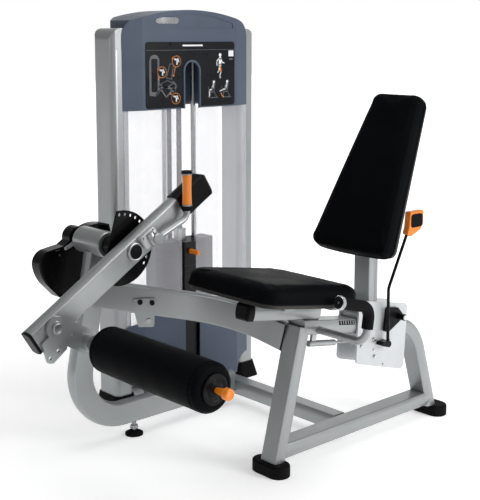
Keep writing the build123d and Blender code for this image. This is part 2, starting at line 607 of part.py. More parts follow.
with BuildPart() as seat_rail:
    add(arch_block(WALL))
    rail_face = Plane(origin=rail_point(RAIL_START, 0), x_dir=(0, 1, 0),
                      z_dir=Vector(*rail_point(1, 0)) - Vector(*rail_point(0, 0)))
    extrude(tube_section(rail_face, TUBE_WIDE, TUBE_THICK, wall=0), amount=WALL)
seat_rail.part.label = "seat_rail"
export_step(seat_rail.part, "parts/seat_rail.step")

with BuildPart() as front_leg:
    add(leg_block(WALL))
    add(arch_solid, mode=Mode.SUBTRACT)
front_leg.part = largest_piece(front_leg)
front_leg.part.label = "front_leg"
export_step(front_leg.part, "parts/front_leg.step")

with BuildPart() as floor_cross_tube:
    plane = Plane(origin=(LEG_BOTTOM[0], LINE_Y, CROSS_Z), x_dir=(0, 1, 0), z_dir=(1, 0, 0))
    extrude(tube_section(plane, TUBE_WIDE, TUBE_THICK), amount=RAIL_END[0] - LEG_BOTTOM[0])
    add(leg_solid, mode=Mode.SUBTRACT)
    add(arch_solid, mode=Mode.SUBTRACT)
floor_cross_tube.part = largest_piece(floor_cross_tube)
floor_cross_tube.part.label = "floor_cross_tube"
export_step(floor_cross_tube.part, "parts/floor_cross_tube.step")

with BuildPart() as floor_feet:
    for centre_x in (FRONT_FOOT_X, REAR_FOOT_X):
        with BuildSketch(Plane.XY) as foot_outline:
            with Locations((centre_x, LINE_Y)):
                SlotOverall(FOOT_L, FOOT_W, rotation=90)
        extrude(amount=FOOT_H - 0.3)
    fillet(floor_feet.edges().group_by(Axis.Z)[-1], radius=8)
    chamfer(floor_feet.edges().group_by(Axis.Z)[0], length=3)
floor_feet.part.label = "floor_feet"
export_step(floor_feet.part, "parts/floor_feet.step")

# ==== Front loop, knee bearing and seat beam ======================================================
LOOP_TOP = (PIVOT_X + 1, LOOP_Y, PIVOT_Z - 40)
LOOP_CORNER = (TOWER_LEFT - 395.0, LOOP_Y, 110.0)
LOOP_END = (BASE_X - BASE_WIDE / 2 - 0.2, LOOP_Y, 110.0)


def loop_block(wall):
    return bent_tube([LOOP_TOP, LOOP_CORNER, LOOP_END], 200, BIG_WIDE, TUBE_THICK, (1, 0, -0.2), wall)


with BuildPart() as front_loop_tube:
    add(loop_block(WALL))
    with BuildSketch(side_plane(LOOP_Y)) as housing_seat:
        with Locations((PIVOT_X, PIVOT_Z)):
            Circle(HOUSING_D / 2 + 0.2)
    extrude(amount=60, both=True, mode=Mode.SUBTRACT)
front_loop_tube.part.label = "front_loop_tube"
export_step(front_loop_tube.part, "parts/front_loop_tube.step")

loop_solid = loop_block(0)
BEAM_TALL = 116.0
BEAM_START = (TOWER_LEFT - 299.0, LOOP_Y, 646.0)
BEAM_CORNER = (TOWER_LEFT + 180.0, TOWER_BACK - 721.0, 545.0)
BEAM_END = (TOWER_LEFT + 180.0, LINE_Y + TUBE_WIDE / 2 - 10, 504.0)
with BuildPart() as seat_beam:
    add(bent_tube([BEAM_START, BEAM_CORNER, BEAM_END], 380, BEAM_TALL, TUBE_THICK, (0, 0, 1)))
    add(loop_solid, mode=Mode.SUBTRACT)
    add(leg_solid, mode=Mode.SUBTRACT)
    add(arch_solid, mode=Mode.SUBTRACT)
seat_beam.part = largest_piece(seat_beam)
seat_beam.part.label = "seat_beam"
export_step(seat_beam.part, "parts/seat_beam.step")

with BuildPart() as bearing_housing:
    with BuildSketch(side_plane(HOUSING_FAR)) as housing:
        with Locations((PIVOT_X, PIVOT_Z)):
            Circle(HOUSING_D / 2)
            Circle(SHAFT_D / 2 + 0.05, mode=Mode.SUBTRACT)
    extrude(amount=HOUSING_FAR - HOUSING_NEAR)
    chamfer(bearing_housing.faces().sort_by(Axis.Y)[0].outer_wire().edges(), length=5)
bearing_housing.part.label = "bearing_housing"
export_step(bearing_housing.part, "parts/bearing_housing.step")

# Levelling foot under the loop.
LEVEL_X = TOWER_LEFT - 90.0
with BuildPart() as levelling_foot:
    with BuildSketch(Plane.XZ.offset(-LOOP_Y)) as foot_profile:
        with BuildLine():
            Polyline((LEVEL_X, 0), (LEVEL_X + 38, 0), (LEVEL_X + 38, 9), (LEVEL_X + 18, 20), (LEVEL_X + 9, 20),
                     (LEVEL_X + 9, LOOP_END[2] - BIG_WIDE / 2 - 0.3), (LEVEL_X, LOOP_END[2] - BIG_WIDE / 2 - 0.3),
                     close=True)
        make_face()
    revolve(axis=Axis((LEVEL_X, LOOP_Y, 0), (0, 0, 1)))
levelling_foot.part.label = "levelling_foot"
export_step(levelling_foot.part, "parts/levelling_foot.step")

# ==== Cam, shaft and start-position plate ==========================================================
def cam_outline(plane, inset):
    """The big cam's plate seen from the side, its rim moved inwards by inset."""
    def at(dx, dz):
        return (PIVOT_X + dx, PIVOT_Z + dz)

    with BuildSketch(plane) as cam_sketch:
        with BuildLine():
            ThreePointArc(at(150, 38), at(95, 48), at(25, 32))
            Polyline(at(25, 32), at(-43, -6), at(-72, -25), at(-143, -36))
            ThreePointArc(at(-143, -36), at(-178, -57), at(-190, -95))
            ThreePointArc(at(-190, -95), at(-178, -138), at(-150, -180))
            Line(at(-150, -180), at(-101, -231))
            ThreePointArc(at(-101, -231), at(5, -256), at(100, -215))
            ThreePointArc(at(100, -215), at(160, -90), at(150, 38))
        make_face()
        if inset:
            offset(amount=-inset, kind=Kind.INTERSECTION, mode=Mode.REPLACE)
    return cam_sketch.sketch


CAM_RIM = 8.0
CAM_WEB = 18.0
HUB_D = 92.0
with BuildPart() as main_cam:
    extrude(cam_outline(side_plane(CAM_FAR), 0), amount=CAM_FAR - CAM_NEAR)
    extrude(cam_outline(side_plane(CAM_NEAR), CAM_RIM), amount=-(CAM_FAR - CAM_NEAR - CAM_WEB), mode=Mode.SUBTRACT)
    with BuildSketch(side_plane(CAM_FAR)) as cam_hub:
        with Locations((PIVOT_X, PIVOT_Z)):
            Circle(HUB_D / 2)
    extrude(amount=CAM_FAR - CAM_NEAR)
    with BuildSketch(side_plane(CAM_FAR)) as cam_bore:
        with Locations((PIVOT_X, PIVOT_Z)):
            Circle(SHAFT_D / 2)
        with Locations((PIVOT_X - 69, PIVOT_Z - 71)):
            Circle(6)
        with Locations((PIVOT_X - 72, PIVOT_Z - 43)):
            SlotOverall(34, 9, rotation=14)
    extrude(amount=CAM_FAR - CAM_NEAR, mode=Mode.SUBTRACT)
main_cam.part.label = "main_cam"
export_step(main_cam.part, "parts/main_cam.step")

with BuildPart() as pivot_shaft:
    with BuildSketch(side_plane(CAM_FAR + 8)) as shaft:
        with Locations((PIVOT_X, PIVOT_Z)):
            Circle(SHAFT_D / 2)
    extrude(amount=CAM_FAR + 8 - ARM_NEAR_Y - 0.5)
pivot_shaft.part.label = "pivot_shaft"
export_step(pivot_shaft.part, "parts/pivot_shaft.step")

ROM_HOLES, ROM_STEP, ROM_LAST = 12, 11.5, -34.0
ROM_EDGE, ROM_LEAN = 60.0, 17.0       # the straight edge: its distance from the pivot and its lean
with BuildPart() as start_position_plate:
    with BuildSketch(side_plane(ROM_Y)) as sector:
        with Locations((PIVOT_X, PIVOT_Z)):
            Circle(ROM_R)
            with PolarLocations(ROM_R + ROM_EDGE, 1, start_angle=180 - ROM_LEAN):
                Rectangle(2 * ROM_R, 3 * ROM_R, mode=Mode.SUBTRACT)
            with PolarLocations(ROM_R - 16, ROM_HOLES, start_angle=ROM_LAST, angular_range=ROM_HOLES * ROM_STEP):
                Circle(7, mode=Mode.SUBTRACT)
            Circle(SHAFT_D / 2, mode=Mode.SUBTRACT)
    extrude(amount=ROM_T)
    with BuildSketch(side_plane(HOUSING_NEAR - 2)) as hub:
        with Locations((PIVOT_X, PIVOT_Z)):
            Circle(36)
            Circle(SHAFT_D / 2, mode=Mode.SUBTRACT)
    extrude(amount=HOUSING_NEAR - 2 - ROM_Y)
start_position_plate.part.label = "start_position_plate"
export_step(start_position_plate.part, "parts/start_position_plate.step")

# ==== Movement arm =================================================================================
def arm_plane(along):
    lean = radians(ARM_ANGLE)
    return Plane(origin=arm_point(along, 0, (ARM_NEAR_Y + ARM_FAR_Y) / 2), x_dir=(-sin(lean), 0, cos(lean)),
                 z_dir=(cos(lean), 0, sin(lean)))


with BuildPart() as arm_tube:
    extrude(tube_section(arm_plane(ARM_LOW), BIG_WIDE, TUBE_THICK), amount=ARM_HIGH - ARM_LOW)
    with BuildSketch(side_plane(ARM_FAR_Y)) as arm_hub:
        with Locations((PIVOT_X, PIVOT_Z)):
            Circle(40)
    extrude(amount=ARM_FAR_Y - ARM_NEAR_Y)
    with BuildSketch(side_plane(ARM_FAR_Y)) as arm_bore:
        with Locations((PIVOT_X, PIVOT_Z)):
            Circle(SHAFT_D / 2 + 0.05)
        with Locations((LINK_X, LINK_Z)):
            Circle(12.05)
    extrude(amount=ARM_FAR_Y - ARM_NEAR_Y, mode=Mode.SUBTRACT)
arm_tube.part.label = "arm_tube"
export_step(arm_tube.part, "parts/arm_tube.step")

CAP_LIP = 12.0
with BuildPart() as arm_end_cap:
    extrude(tube_section(arm_plane(ARM_LOW - CAP_LIP), BIG_WIDE, TUBE_THICK, wall=0), amount=CAP_LIP)
    fillet(arm_end_cap.faces().sort_by(Axis.X)[0].edges(), radius=4)
arm_end_cap.part.label = "arm_end_cap"
export_step(arm_end_cap.part, "parts/arm_end_cap.step")

with BuildPart() as counterweight_sleeve:
    extrude(tube_section(arm_plane(ARM_HIGH), BIG_WIDE + 10, TUBE_THICK + 8, wall=0), amount=SLEEVE_END - ARM_HIGH)
    sleeve_long = SLEEVE_END - ARM_HIGH + 200
    sleeve_mid = SLEEVE_END - sleeve_long / 2
    middle_y = (ARM_NEAR_Y + ARM_FAR_Y) / 2
    arm_axis = Vector(cos(radians(ARM_ANGLE)), 0, sin(radians(ARM_ANGLE)))
    arm_up = Vector(-sin(radians(ARM_ANGLE)), 0, cos(radians(ARM_ANGLE)))
    for normal, height, radius in (((0, -1, 0), BIG_WIDE + 10, 42), (arm_up, TUBE_THICK + 8, 26)):
        with BuildSketch(Plane(origin=arm_point(0, 0, middle_y), x_dir=arm_axis, z_dir=normal)) as end_shape:
            with Locations((sleeve_mid, 0)):
                RectangleRounded(sleeve_long, height, radius)
        extrude(amount=90, both=True, mode=Mode.INTERSECT)
counterweight_sleeve.part.label = "counterweight_sleeve"
export_step(counterweight_sleeve.part, "parts/counterweight_sleeve.step")

with BuildPart() as pivot_cap:
    with BuildSketch(side_plane(ARM_NEAR_Y)) as cap_disc:
        with Locations((PIVOT_X, PIVOT_Z)):
            Circle(33)
    extrude(amount=9)
    fillet(pivot_cap.faces().sort_by(Axis.Y)[0].edges(), radius=4)
pivot_cap.part.label = "pivot_cap"
export_step(pivot_cap.part, "parts/pivot_cap.step")

# Release lever of the start-position pin, pivoted on the arm's outer face.
LEVER_Y = ARM_NEAR_Y - 34.0
LEVER_R = 12.0
LEVER_X, LEVER_Z = arm_point(92, -4)[0], arm_point(92, -4)[2]
GRIP_X, GRIP_LOW, GRIP_HIGH = TOWER_LEFT - 33.0, 1006.0, 1124.0
LEVER_POINTS = [(LEVER_X, LEVER_Y, LEVER_Z), (GRIP_X, LEVER_Y, GRIP_LOW - 52), (GRIP_X, LEVER_Y, GRIP_HIGH + 8)]
with BuildPart() as start_lever:
    add(round_tube(LEVER_POINTS, 40, LEVER_R))
    with BuildSketch(side_plane(ARM_NEAR_Y - 1)) as lever_hub:
        with Locations((LEVER_X, LEVER_Z)):
            Circle(24)
    extrude(amount=48)
    fillet(start_lever.faces().sort_by(Axis.Y)[0].edges(), radius=4)
    for collar_z in (GRIP_LOW - 6, GRIP_HIGH):
        with BuildSketch(Plane.XY.offset(collar_z)) as collar:
            with Locations((GRIP_X, LEVER_Y)):
                Circle(20)
        extrude(amount=6)
start_lever.part.label = "start_lever"
export_step(start_lever.part, "parts/start_lever.step")

with BuildPart() as start_lever_grip:
    with BuildSketch(Plane.XY.offset(GRIP_LOW)) as grip:
        with Locations((GRIP_X, LEVER_Y)):
            Circle(19)
            Circle(LEVER_R + 0.3, mode=Mode.SUBTRACT)
    extrude(amount=GRIP_HIGH - GRIP_LOW)
start_lever_grip.part.label = "start_lever_grip"
export_step(start_lever_grip.part, "parts/start_lever_grip.step")

# ==== Shin roller ===================================================================================
LINK_Y, LINK_T = ARM_NEAR_Y - 2.0, 12.0
with BuildPart() as roller_link:
    with BuildSketch(side_plane(LINK_Y)) as link_outline:
        with Locations((LINK_X, LINK_Z)):
            Circle(44)
        with Locations((ROLLER_X, ROLLER_Z)):
            Circle(46)
        make_hull()
    extrude(amount=LINK_T)
    with BuildSketch(side_plane(LINK_Y)) as link_fan:
        with BuildLine():
            FilletPolyline((LINK_X - 66, LINK_Z - 46), (LINK_X - 42, LINK_Z - 122), (LINK_X - 20, LINK_Z - 126),
                           (LINK_X + 40, LINK_Z - 82), (LINK_X + 20, LINK_Z - 20), (LINK_X - 30, LINK_Z - 20),
                           radius=8, close=True)
        make_face()
    extrude(amount=LINK_T)
    with BuildSketch(side_plane(LINK_Y)) as link_holes:
        with Locations((LINK_X - 33, LINK_Z - 104), (LINK_X + 1, LINK_Z - 82)):
            Circle(7)
        with Locations((LINK_X, LINK_Z)):
            SlotArc(CenterArc((0, 0), 62, 222, 42), 12)
    extrude(amount=LINK_T, mode=Mode.SUBTRACT)
    with BuildSketch(side_plane(LINK_Y - LINK_T)) as link_boss:
        with Locations((ROLLER_X, ROLLER_Z)):
            Circle(30)
    extrude(amount=34)
    with BuildSketch(side_plane(ARM_FAR_Y)) as link_pin:
        with Locations((LINK_X, LINK_Z)):
            Circle(12)
    extrude(amount=ARM_FAR_Y - LINK_Y + LINK_T + 6)
    with BuildSketch(side_plane(LINK_Y - LINK_T)) as pin_head:
        with Locations((LINK_X, LINK_Z)):
            Circle(26)
    extrude(amount=7)
roller_link.part.label = "roller_link"
export_step(roller_link.part, "parts/roller_link.step")

AXLE_START = LINK_Y - LINK_T - 34.0
with BuildPart() as roller_axle:
    with BuildSketch(side_plane(AXLE_START)) as axle:
        with Locations((ROLLER_X, ROLLER_Z)):
            Circle(AXLE_D / 2)
    extrude(amount=AXLE_START - ROLLER_NEAR + 9)
    with BuildSketch(side_plane(ROLLER_NEAR - 9)) as axle_bore:
        with Locations((ROLLER_X, ROLLER_Z)):
            Circle(7.05)
    extrude(amount=-70, mode=Mode.SUBTRACT)
roller_axle.part.label = "roller_axle"
export_step(roller_axle.part, "parts/roller_axle.step")

with BuildPart() as roller_pad:
    with BuildSketch(side_plane(ROLLER_FAR)) as roller_end:
        with Locations((ROLLER_X, ROLLER_Z)):
            Circle(ROLLER_D / 2)
            Circle(AXLE_D / 2 + 3.2, mode=Mode.SUBTRACT)
    extrude(amount=ROLLER_FAR - ROLLER_NEAR)
    fillet(roller_pad.edges().group_by(Axis.Y)[0].sort_by(SortBy.LENGTH)[-1:], radius=14)
    fillet(roller_pad.edges().group_by(Axis.Y)[-1].sort_by(SortBy.LENGTH)[-1:], radius=14)
roller_pad.part.label = "roller_pad"
export_step(roller_pad.part, "parts/roller_pad.step")

with BuildPart() as roller_sleeve:
    with BuildSketch(side_plane(ROLLER_FAR)) as sleeve_tube:
        with Locations((ROLLER_X, ROLLER_Z)):
            Circle(AXLE_D / 2 + 3)
            Circle(AXLE_D / 2 + 0.05, mode=Mode.SUBTRACT)
    extrude(amount=ROLLER_FAR - ROLLER_NEAR)
    for face_y, amount in ((ROLLER_FAR, -5), (ROLLER_NEAR, 5)):
        with BuildSketch(side_plane(face_y)) as end_disc:
            with Locations((ROLLER_X, ROLLER_Z)):
                Circle(52)
                Circle(AXLE_D / 2 + 0.05, mode=Mode.SUBTRACT)
        extrude(amount=amount)
roller_sleeve.part.label = "roller_sleeve"
export_step(roller_sleeve.part, "parts/roller_sleeve.step")

KNOB_FAR = ROLLER_NEAR - 55.0
with BuildPart() as roller_knob:
    with BuildSketch(side_plane(ROLLER_NEAR + 40)) as knob_stem:
        with Locations((ROLLER_X, ROLLER_Z)):
            Circle(7)
    extrude(amount=ROLLER_NEAR + 40 - KNOB_FAR)
    with BuildSketch(side_plane(ROLLER_NEAR - 10)) as collar_root:
        with Locations((ROLLER_X, ROLLER_Z)):
            Circle(9)
    with BuildSketch(side_plane(KNOB_FAR)) as collar_end:
        with Locations((ROLLER_X, ROLLER_Z)):
            Circle(15)
    loft()
    with BuildSketch(side_plane(KNOB_FAR)) as knob:
        with Locations((ROLLER_X, ROLLER_Z)):
            Circle(KNOB_D / 2)
    extrude(amount=KNOB_L)
    fillet(roller_knob.faces().sort_by(Axis.Y)[0].edges(), radius=5)
roller_knob.part.label = "roller_knob"
export_step(roller_knob.part, "parts/roller_knob.step")

# ==== Stop bracket on the seat beam ================================================================
STOP_ALONG, STOP_Z = 215.0, 563.0


def stop_plane(gap):
    """The stop bracket's plane, parallel to the seat beam's near side and gap millimetres off it."""
    ahead = Vector(*BEAM_CORNER) - Vector(*BEAM_START)
    ahead = Vector(ahead.X, ahead.Y, 0).normalized()
    out = Vector(ahead.Y, -ahead.X, 0)
    foot = Vector(*BEAM_START) + ahead * STOP_ALONG + out * (TUBE_THICK / 2 + gap)
    return Plane(origin=(foot.X, foot.Y, STOP_Z), x_dir=ahead, z_dir=out)


with BuildPart() as stop_bracket:
    with BuildSketch(stop_plane(0)) as bracket:
        with BuildLine():
            FilletPolyline((-44, 59), (44, 59), (38, -59), (-26, -57), (-44, 22), radius=9, close=True)
        make_face()
    extrude(amount=8)
stop_bracket.part.label = "stop_bracket"
export_step(stop_bracket.part, "parts/stop_bracket.step")

with BuildPart() as stop_bolts:
    with BuildSketch(stop_plane(8)) as bolt_heads:
        with Locations((-17, 45), (31, 41)):
            Circle(10)
        with Locations((16, -33)):
            RegularPolygon(11, 6)
    extrude(amount=7)
stop_bolts.part.label = "stop_bolts"
export_step(stop_bolts.part, "parts/stop_bolts.step")

# ==== Seat ==========================================================================================
RAIL_TOP = TUBE_THICK / 2 + 0.3
SUPPORT_FRONT, SUPPORT_REAR, SUPPORT_W, SUPPORT_H = -275.0, 84.0, 72.0, 60.0
with BuildPart() as seat_support:
    start = Plane(origin=rail_point(SUPPORT_FRONT, RAIL_TOP + SUPPORT_H / 2), x_dir=(0, 1, 0),
                  z_dir=Vector(*rail_point(1, 0)) - Vector(*rail_point(0, 0)))
    extrude(tube_section(start, SUPPORT_W, SUPPORT_H), amount=SUPPORT_REAR - SUPPORT_FRONT)
    with BuildSketch(rail_top_plane(RAIL_TOP + SUPPORT_H)) as cleats:
        with Locations((-210, 0), (40, 0)):
            RectangleRounded(60, 300, 8)
    extrude(amount=SEAT_BOTTOM - 14.5 - RAIL_TOP - SUPPORT_H)
seat_support.part.label = "seat_support"
export_step(seat_support.part, "parts/seat_support.step")

with BuildPart() as seat_support_cap:
    start = Plane(origin=rail_point(SUPPORT_FRONT, RAIL_TOP + SUPPORT_H / 2), x_dir=(0, 1, 0),
                  z_dir=Vector(*rail_point(-1, 0)) - Vector(*rail_point(0, 0)))
    extrude(tube_section(start, SUPPORT_W + 6, SUPPORT_H + 3, wall=0), amount=34)
    fillet(seat_support_cap.faces().sort_by(Axis.X)[0].edges(), radius=12)
seat_support_cap.part.label = "seat_support_cap"
export_step(seat_support_cap.part, "parts/seat_support_cap.step")

SEAT_MID = (SEAT_FRONT + SEAT_REAR) / 2
SEAT_LENGTH = SEAT_REAR - SEAT_FRONT
SEAT_CORNER = 74.0
with BuildPart() as seat_board:
    with BuildSketch(rail_top_plane(SEAT_BOTTOM - 14)) as board:
        with Locations((SEAT_MID, 0)):
            RectangleRounded(SEAT_LENGTH - 44, SEAT_WIDTH - 44, SEAT_CORNER - 22)
    extrude(amount=13.7)
seat_board.part.label = "seat_board"
export_step(seat_board.part, "parts/seat_board.step")

with BuildPart() as seat_pad:
    with BuildSketch(rail_top_plane(SEAT_BOTTOM)) as pad:
        with Locations((SEAT_MID, 0)):
            RectangleRounded(SEAT_LENGTH, SEAT_WIDTH, SEAT_CORNER)
    extrude(amount=SEAT_TOP - SEAT_BOTTOM)
    fillet(seat_pad.faces().sort_by(Axis((0, 0, 0), rail_top_plane(0).z_dir))[-1].edges(), radius=28)
seat_pad.part.label = "seat_pad"
export_step(seat_pad.part, "parts/seat_pad.step")

HANDLE_OUT = SEAT_WIDTH / 2 + 34.0
HANDLE_R, GRIP_R = 15.0, 22.0
HANDLE_REAR, HANDLE_FRONT = 76.0, -88.0
HANDLE_TOP_REAR, HANDLE_TOP_FRONT = 125.0, 142.0


def handle_points(side):
    """Route of one side handle: out from the rail, up, then forward beside the seat."""
    inner, outer = LINE_Y + side * TUBE_WIDE / 2, LINE_Y + side * HANDLE_OUT
    return [rail_point(HANDLE_REAR, -9, inner), rail_point(HANDLE_REAR, -9, outer),
            rail_point(HANDLE_REAR, HANDLE_TOP_REAR, outer), rail_point(HANDLE_FRONT, HANDLE_TOP_FRONT, outer)]


def grip_points(side):
    outer = LINE_Y + side * HANDLE_OUT
    return [rail_point(HANDLE_REAR, 44, outer), rail_point(HANDLE_REAR, HANDLE_TOP_REAR, outer),
            rail_point(HANDLE_FRONT + 3, HANDLE_TOP_FRONT - 0.3, outer)]


with BuildPart() as side_handles:
    for side in (-1, 1):
        add(round_tube(handle_points(side), 46, HANDLE_R, HANDLE_R - 3))
        end = rail_point(HANDLE_FRONT, HANDLE_TOP_FRONT, LINE_Y + side * HANDLE_OUT)
        ahead = (Vector(*rail_point(HANDLE_FRONT, HANDLE_TOP_FRONT))
                 - Vector(*rail_point(HANDLE_REAR, HANDLE_TOP_REAR)))
        with BuildSketch(Plane(origin=end, z_dir=ahead)) as cap_face:
            Circle(26)
        extrude(amount=14)
    fillet(side_handles.faces().filter_by(GeomType.PLANE).sort_by(Axis.X)[:2].edges(), radius=5)
side_handles.part.label = "side_handles"
export_step(side_handles.part, "parts/side_handles.step")

with BuildPart() as handle_grips:
    for side in (-1, 1):
        add(round_tube(grip_points(side), 46, GRIP_R, HANDLE_R + 0.3))
handle_grips.part.label = "handle_grips"
export_step(handle_grips.part, "parts/handle_grips.step")

with BuildPart() as rail_scale:
    bow_radius = (TUBE_THICK ** 2 / 4 + BULGE ** 2) / (2 * BULGE)
    strip_start = Plane(origin=rail_point(190, 0), x_dir=(0, 1, 0),
                        z_dir=Vector(*rail_point(1, 0)) - Vector(*rail_point(0, 0)))
    with BuildSketch(strip_start) as scale_strip:
        with Locations((bow_radius - TUBE_WIDE / 2, 0)):
            Circle(bow_radius + 0.7)
            Circle(bow_radius + 0.05, mode=Mode.SUBTRACT)
        with Locations((-TUBE_WIDE / 2, 15.5)):
            Rectangle(30, 17, mode=Mode.INTERSECT)
    extrude(amount=93)
rail_scale.part.label = "rail_scale"
export_step(rail_scale.part, "parts/rail_scale.step")

SPRING_Y, SPRING_N, SPRING_FRONT, SPRING_REAR = LINE_Y - 24.0, -66.0, 46.0, 196.0
with BuildPart() as gas_spring_cylinder:
    axis = Vector(*rail_point(1, 0)) - Vector(*rail_point(0, 0))
    with BuildSketch(Plane(origin=rail_point(SPRING_FRONT, SPRING_N, SPRING_Y), z_dir=axis)) as body:
        Circle(12)
    extrude(amount=SPRING_REAR - SPRING_FRONT)
    with BuildSketch(Plane(origin=rail_point(SPRING_FRONT + 8, SPRING_N, SPRING_Y), z_dir=axis)) as chamber:
        Circle(8)
    extrude(amount=SPRING_REAR - SPRING_FRONT - 20, mode=Mode.SUBTRACT)
    with BuildSketch(Plane(origin=rail_point(SPRING_REAR - 20, SPRING_N, SPRING_Y), z_dir=axis)) as gland:
        Circle(5.05)
    extrude(amount=30, mode=Mode.SUBTRACT)
    with BuildSketch(rail_plane(SPRING_Y + 6)) as lug:
        with Locations((SPRING_FRONT + 24, SPRING_N + 19)):
            Rectangle(24, 37)
    extrude(amount=12)
    with BuildSketch(Plane(origin=rail_point(SPRING_FRONT + 8, SPRING_N, SPRING_Y), z_dir=axis)) as clear_chamber:
        Circle(8)
    extrude(amount=SPRING_REAR - SPRING_FRONT - 28, mode=Mode.SUBTRACT)
gas_spring_cylinder.part.label = "gas_spring_cylinder"
export_step(gas_spring_cylinder.part, "parts/gas_spring_cylinder.step")

with BuildPart() as gas_spring_rod:
    with BuildSketch(Plane(origin=rail_point(SPRING_REAR - 56, SPRING_N, SPRING_Y), z_dir=axis)) as rod:
        Circle(5)
    extrude(amount=CARRIAGE_FRONT + 50 - SPRING_REAR + 56)
    with BuildSketch(rail_plane(LINE_Y + PLATE_GAP)) as rod_block:
        with Locations((CARRIAGE_FRONT + 40, SPRING_N)):
            RectangleRounded(26, 26, 6)
    extrude(amount=2 * PLATE_GAP)
gas_spring_rod.part.label = "gas_spring_rod"
export_step(gas_spring_rod.part, "parts/gas_spring_rod.step")

# ==== Backrest carriage ==============================================================================
with BuildPart() as carriage_plates:
    for start_y in (LINE_Y + PLATE_GAP + PLATE_SHEET, LINE_Y - PLATE_GAP):
        with BuildSketch(rail_plane(start_y)) as sheet:
            with BuildLine():
                FilletPolyline((CARRIAGE_FRONT, CARRIAGE_HIGH), (CARRIAGE_FRONT + 26, CARRIAGE_LOW + 37),
                               (CARRIAGE_REAR, CARRIAGE_LOW), (CARRIAGE_REAR - 25, CARRIAGE_HIGH - 13),
                               radius=22, close=True)
            make_face()
            with Locations((CARRIAGE_FRONT + 126, -98), (CARRIAGE_FRONT + 198, -161)):
                Circle(5, mode=Mode.SUBTRACT)
        extrude(amount=PLATE_SHEET)
    with BuildSketch(rail_plane(LINE_Y + PLATE_GAP)) as glides:
        for glide_s in (CARRIAGE_FRONT + 48, CARRIAGE_FRONT + 200):
            with Locations((glide_s, TUBE_THICK / 2 + 8.6), (glide_s, -TUBE_THICK / 2 - 8.6)):
                RectangleRounded(60, 16, 4)
    extrude(amount=2 * PLATE_GAP)
carriage_plates.part.label = "carriage_plates"
export_step(carriage_plates.part, "parts/carriage_plates.step")

POST_TILT = radians(BACK_TILT)
POST_LOW = (POST_X, LINE_Y, 566.0)
POST_CORNER = (POST_X, LINE_Y, POST_BEND_Z)
POST_TOP = (POST_X + 400 * sin(POST_TILT), LINE_Y, POST_BEND_Z + 400 * cos(POST_TILT))
with BuildPart() as back_post:
    add(bent_tube([POST_LOW, POST_CORNER, POST_TOP], 120, 2 * PLATE_GAP, TUBE_THICK, (0, 1, 0)))
    with BuildSketch(back_plane(BACK_T + 13)) as post_cleats:
        with Locations((0, 150), (0, 340)):
            RectangleRounded(150, 46, 6)
    extrude(amount=12)
    with BuildSketch(back_plane(BACK_T + 25)) as post_webs:
        with Locations((0, 150), (0, 340)):
            Rectangle(60, 30)
    extrude(amount=8)
back_post.part.label = "back_post"
export_step(back_post.part, "parts/back_post.step")


def back_outline(plane, shrink, corner):
    """Outline of the backrest, wider at the bottom than at the top."""
    low, high = BACK_LOW + shrink, BACK_HIGH - shrink
    wide, narrow = BACK_WIDE / 2 - shrink, BACK_NARROW / 2 - shrink
    with BuildSketch(plane) as outline:
        with BuildLine():
            Polyline((wide, low), (narrow, high), (-narrow, high), (-wide, low))
            ThreePointArc((-wide, low), (0, low - BACK_BOW), (wide, low))
        make_face()
        fillet(outline.vertices(), radius=corner)
    return outline.sketch


with BuildPart() as back_board:
    extrude(back_outline(back_plane(BACK_T + 0.3), 18, 30), amount=12.5)
back_board.part.label = "back_board"
export_step(back_board.part, "parts/back_board.step")

with BuildPart() as back_pad:
    extrude(back_outline(back_plane(0), 0, 44), amount=BACK_T)
    fillet(back_pad.faces().sort_by(Axis.X)[0].edges(), radius=20)
back_pad.part.label = "back_pad"
export_step(back_pad.part, "parts/back_pad.step")

# Release lever of the backrest, pivoted on the outer carriage plate.
RELEASE_Y = LINE_Y - PLATE_GAP - PLATE_SHEET - 26.0
RELEASE_X, RELEASE_Z = TOWER_LEFT + 650.0, 408.0
RELEASE_POINTS = [(RELEASE_X, RELEASE_Y, RELEASE_Z), (RELEASE_X - 2, RELEASE_Y, 640),
                  (TOWER_LEFT + 775, RELEASE_Y, 881)]
with BuildPart() as release_lever:
    add(round_tube(RELEASE_POINTS, 50, 6.5))
    with BuildSketch(side_plane(RELEASE_Y + 25)) as release_hub:
        with Locations((RELEASE_X, RELEASE_Z)):
            Circle(13)
        with Locations((RELEASE_X - 34, RELEASE_Z + 6)):
            Circle(9)
        make_hull()
    extrude(amount=34)
release_lever.part.label = "release_lever"
export_step(release_lever.part, "parts/release_lever.step")

with BuildPart() as release_paddle:
    with BuildSketch(side_plane(RELEASE_Y + 15)) as paddle:
        with BuildLine():
            FilletPolyline((TOWER_LEFT + 745, 852), (TOWER_LEFT + 771, 840), (TOWER_LEFT + 830, 862),
                           (TOWER_LEFT + 850, 882), (TOWER_LEFT + 852, 944), (TOWER_LEFT + 762, 944),
                           (TOWER_LEFT + 756, 880), radius=9, close=True)
        make_face()
    extrude(amount=30)
    fillet(release_paddle.edges().filter_by(Axis.Y, reverse=True), radius=5)
    add(round_tube(RELEASE_POINTS, 50, 6.8), mode=Mode.SUBTRACT)
release_paddle.part.label = "release_paddle"
export_step(release_paddle.part, "parts/release_paddle.step")

with BuildPart() as latch_block:
    with BuildSketch(rail_plane(LINE_Y - PLATE_GAP - PLATE_SHEET)) as latch:
        with BuildLine():
            FilletPolyline((452, 78), (452, -22), (480, -22), (570, 40), (520, 78), radius=8, close=True)
        make_face()
    extrude(amount=14)
    with BuildSketch(rail_plane(LINE_Y - PLATE_GAP - PLATE_SHEET - 13)) as latch_pin:
        with Locations((528, 42)):
            Circle(13)
    extrude(amount=36)
latch_block.part.label = "latch_block"
export_step(latch_block.part, "parts/latch_block.step")
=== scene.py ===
import json
import math

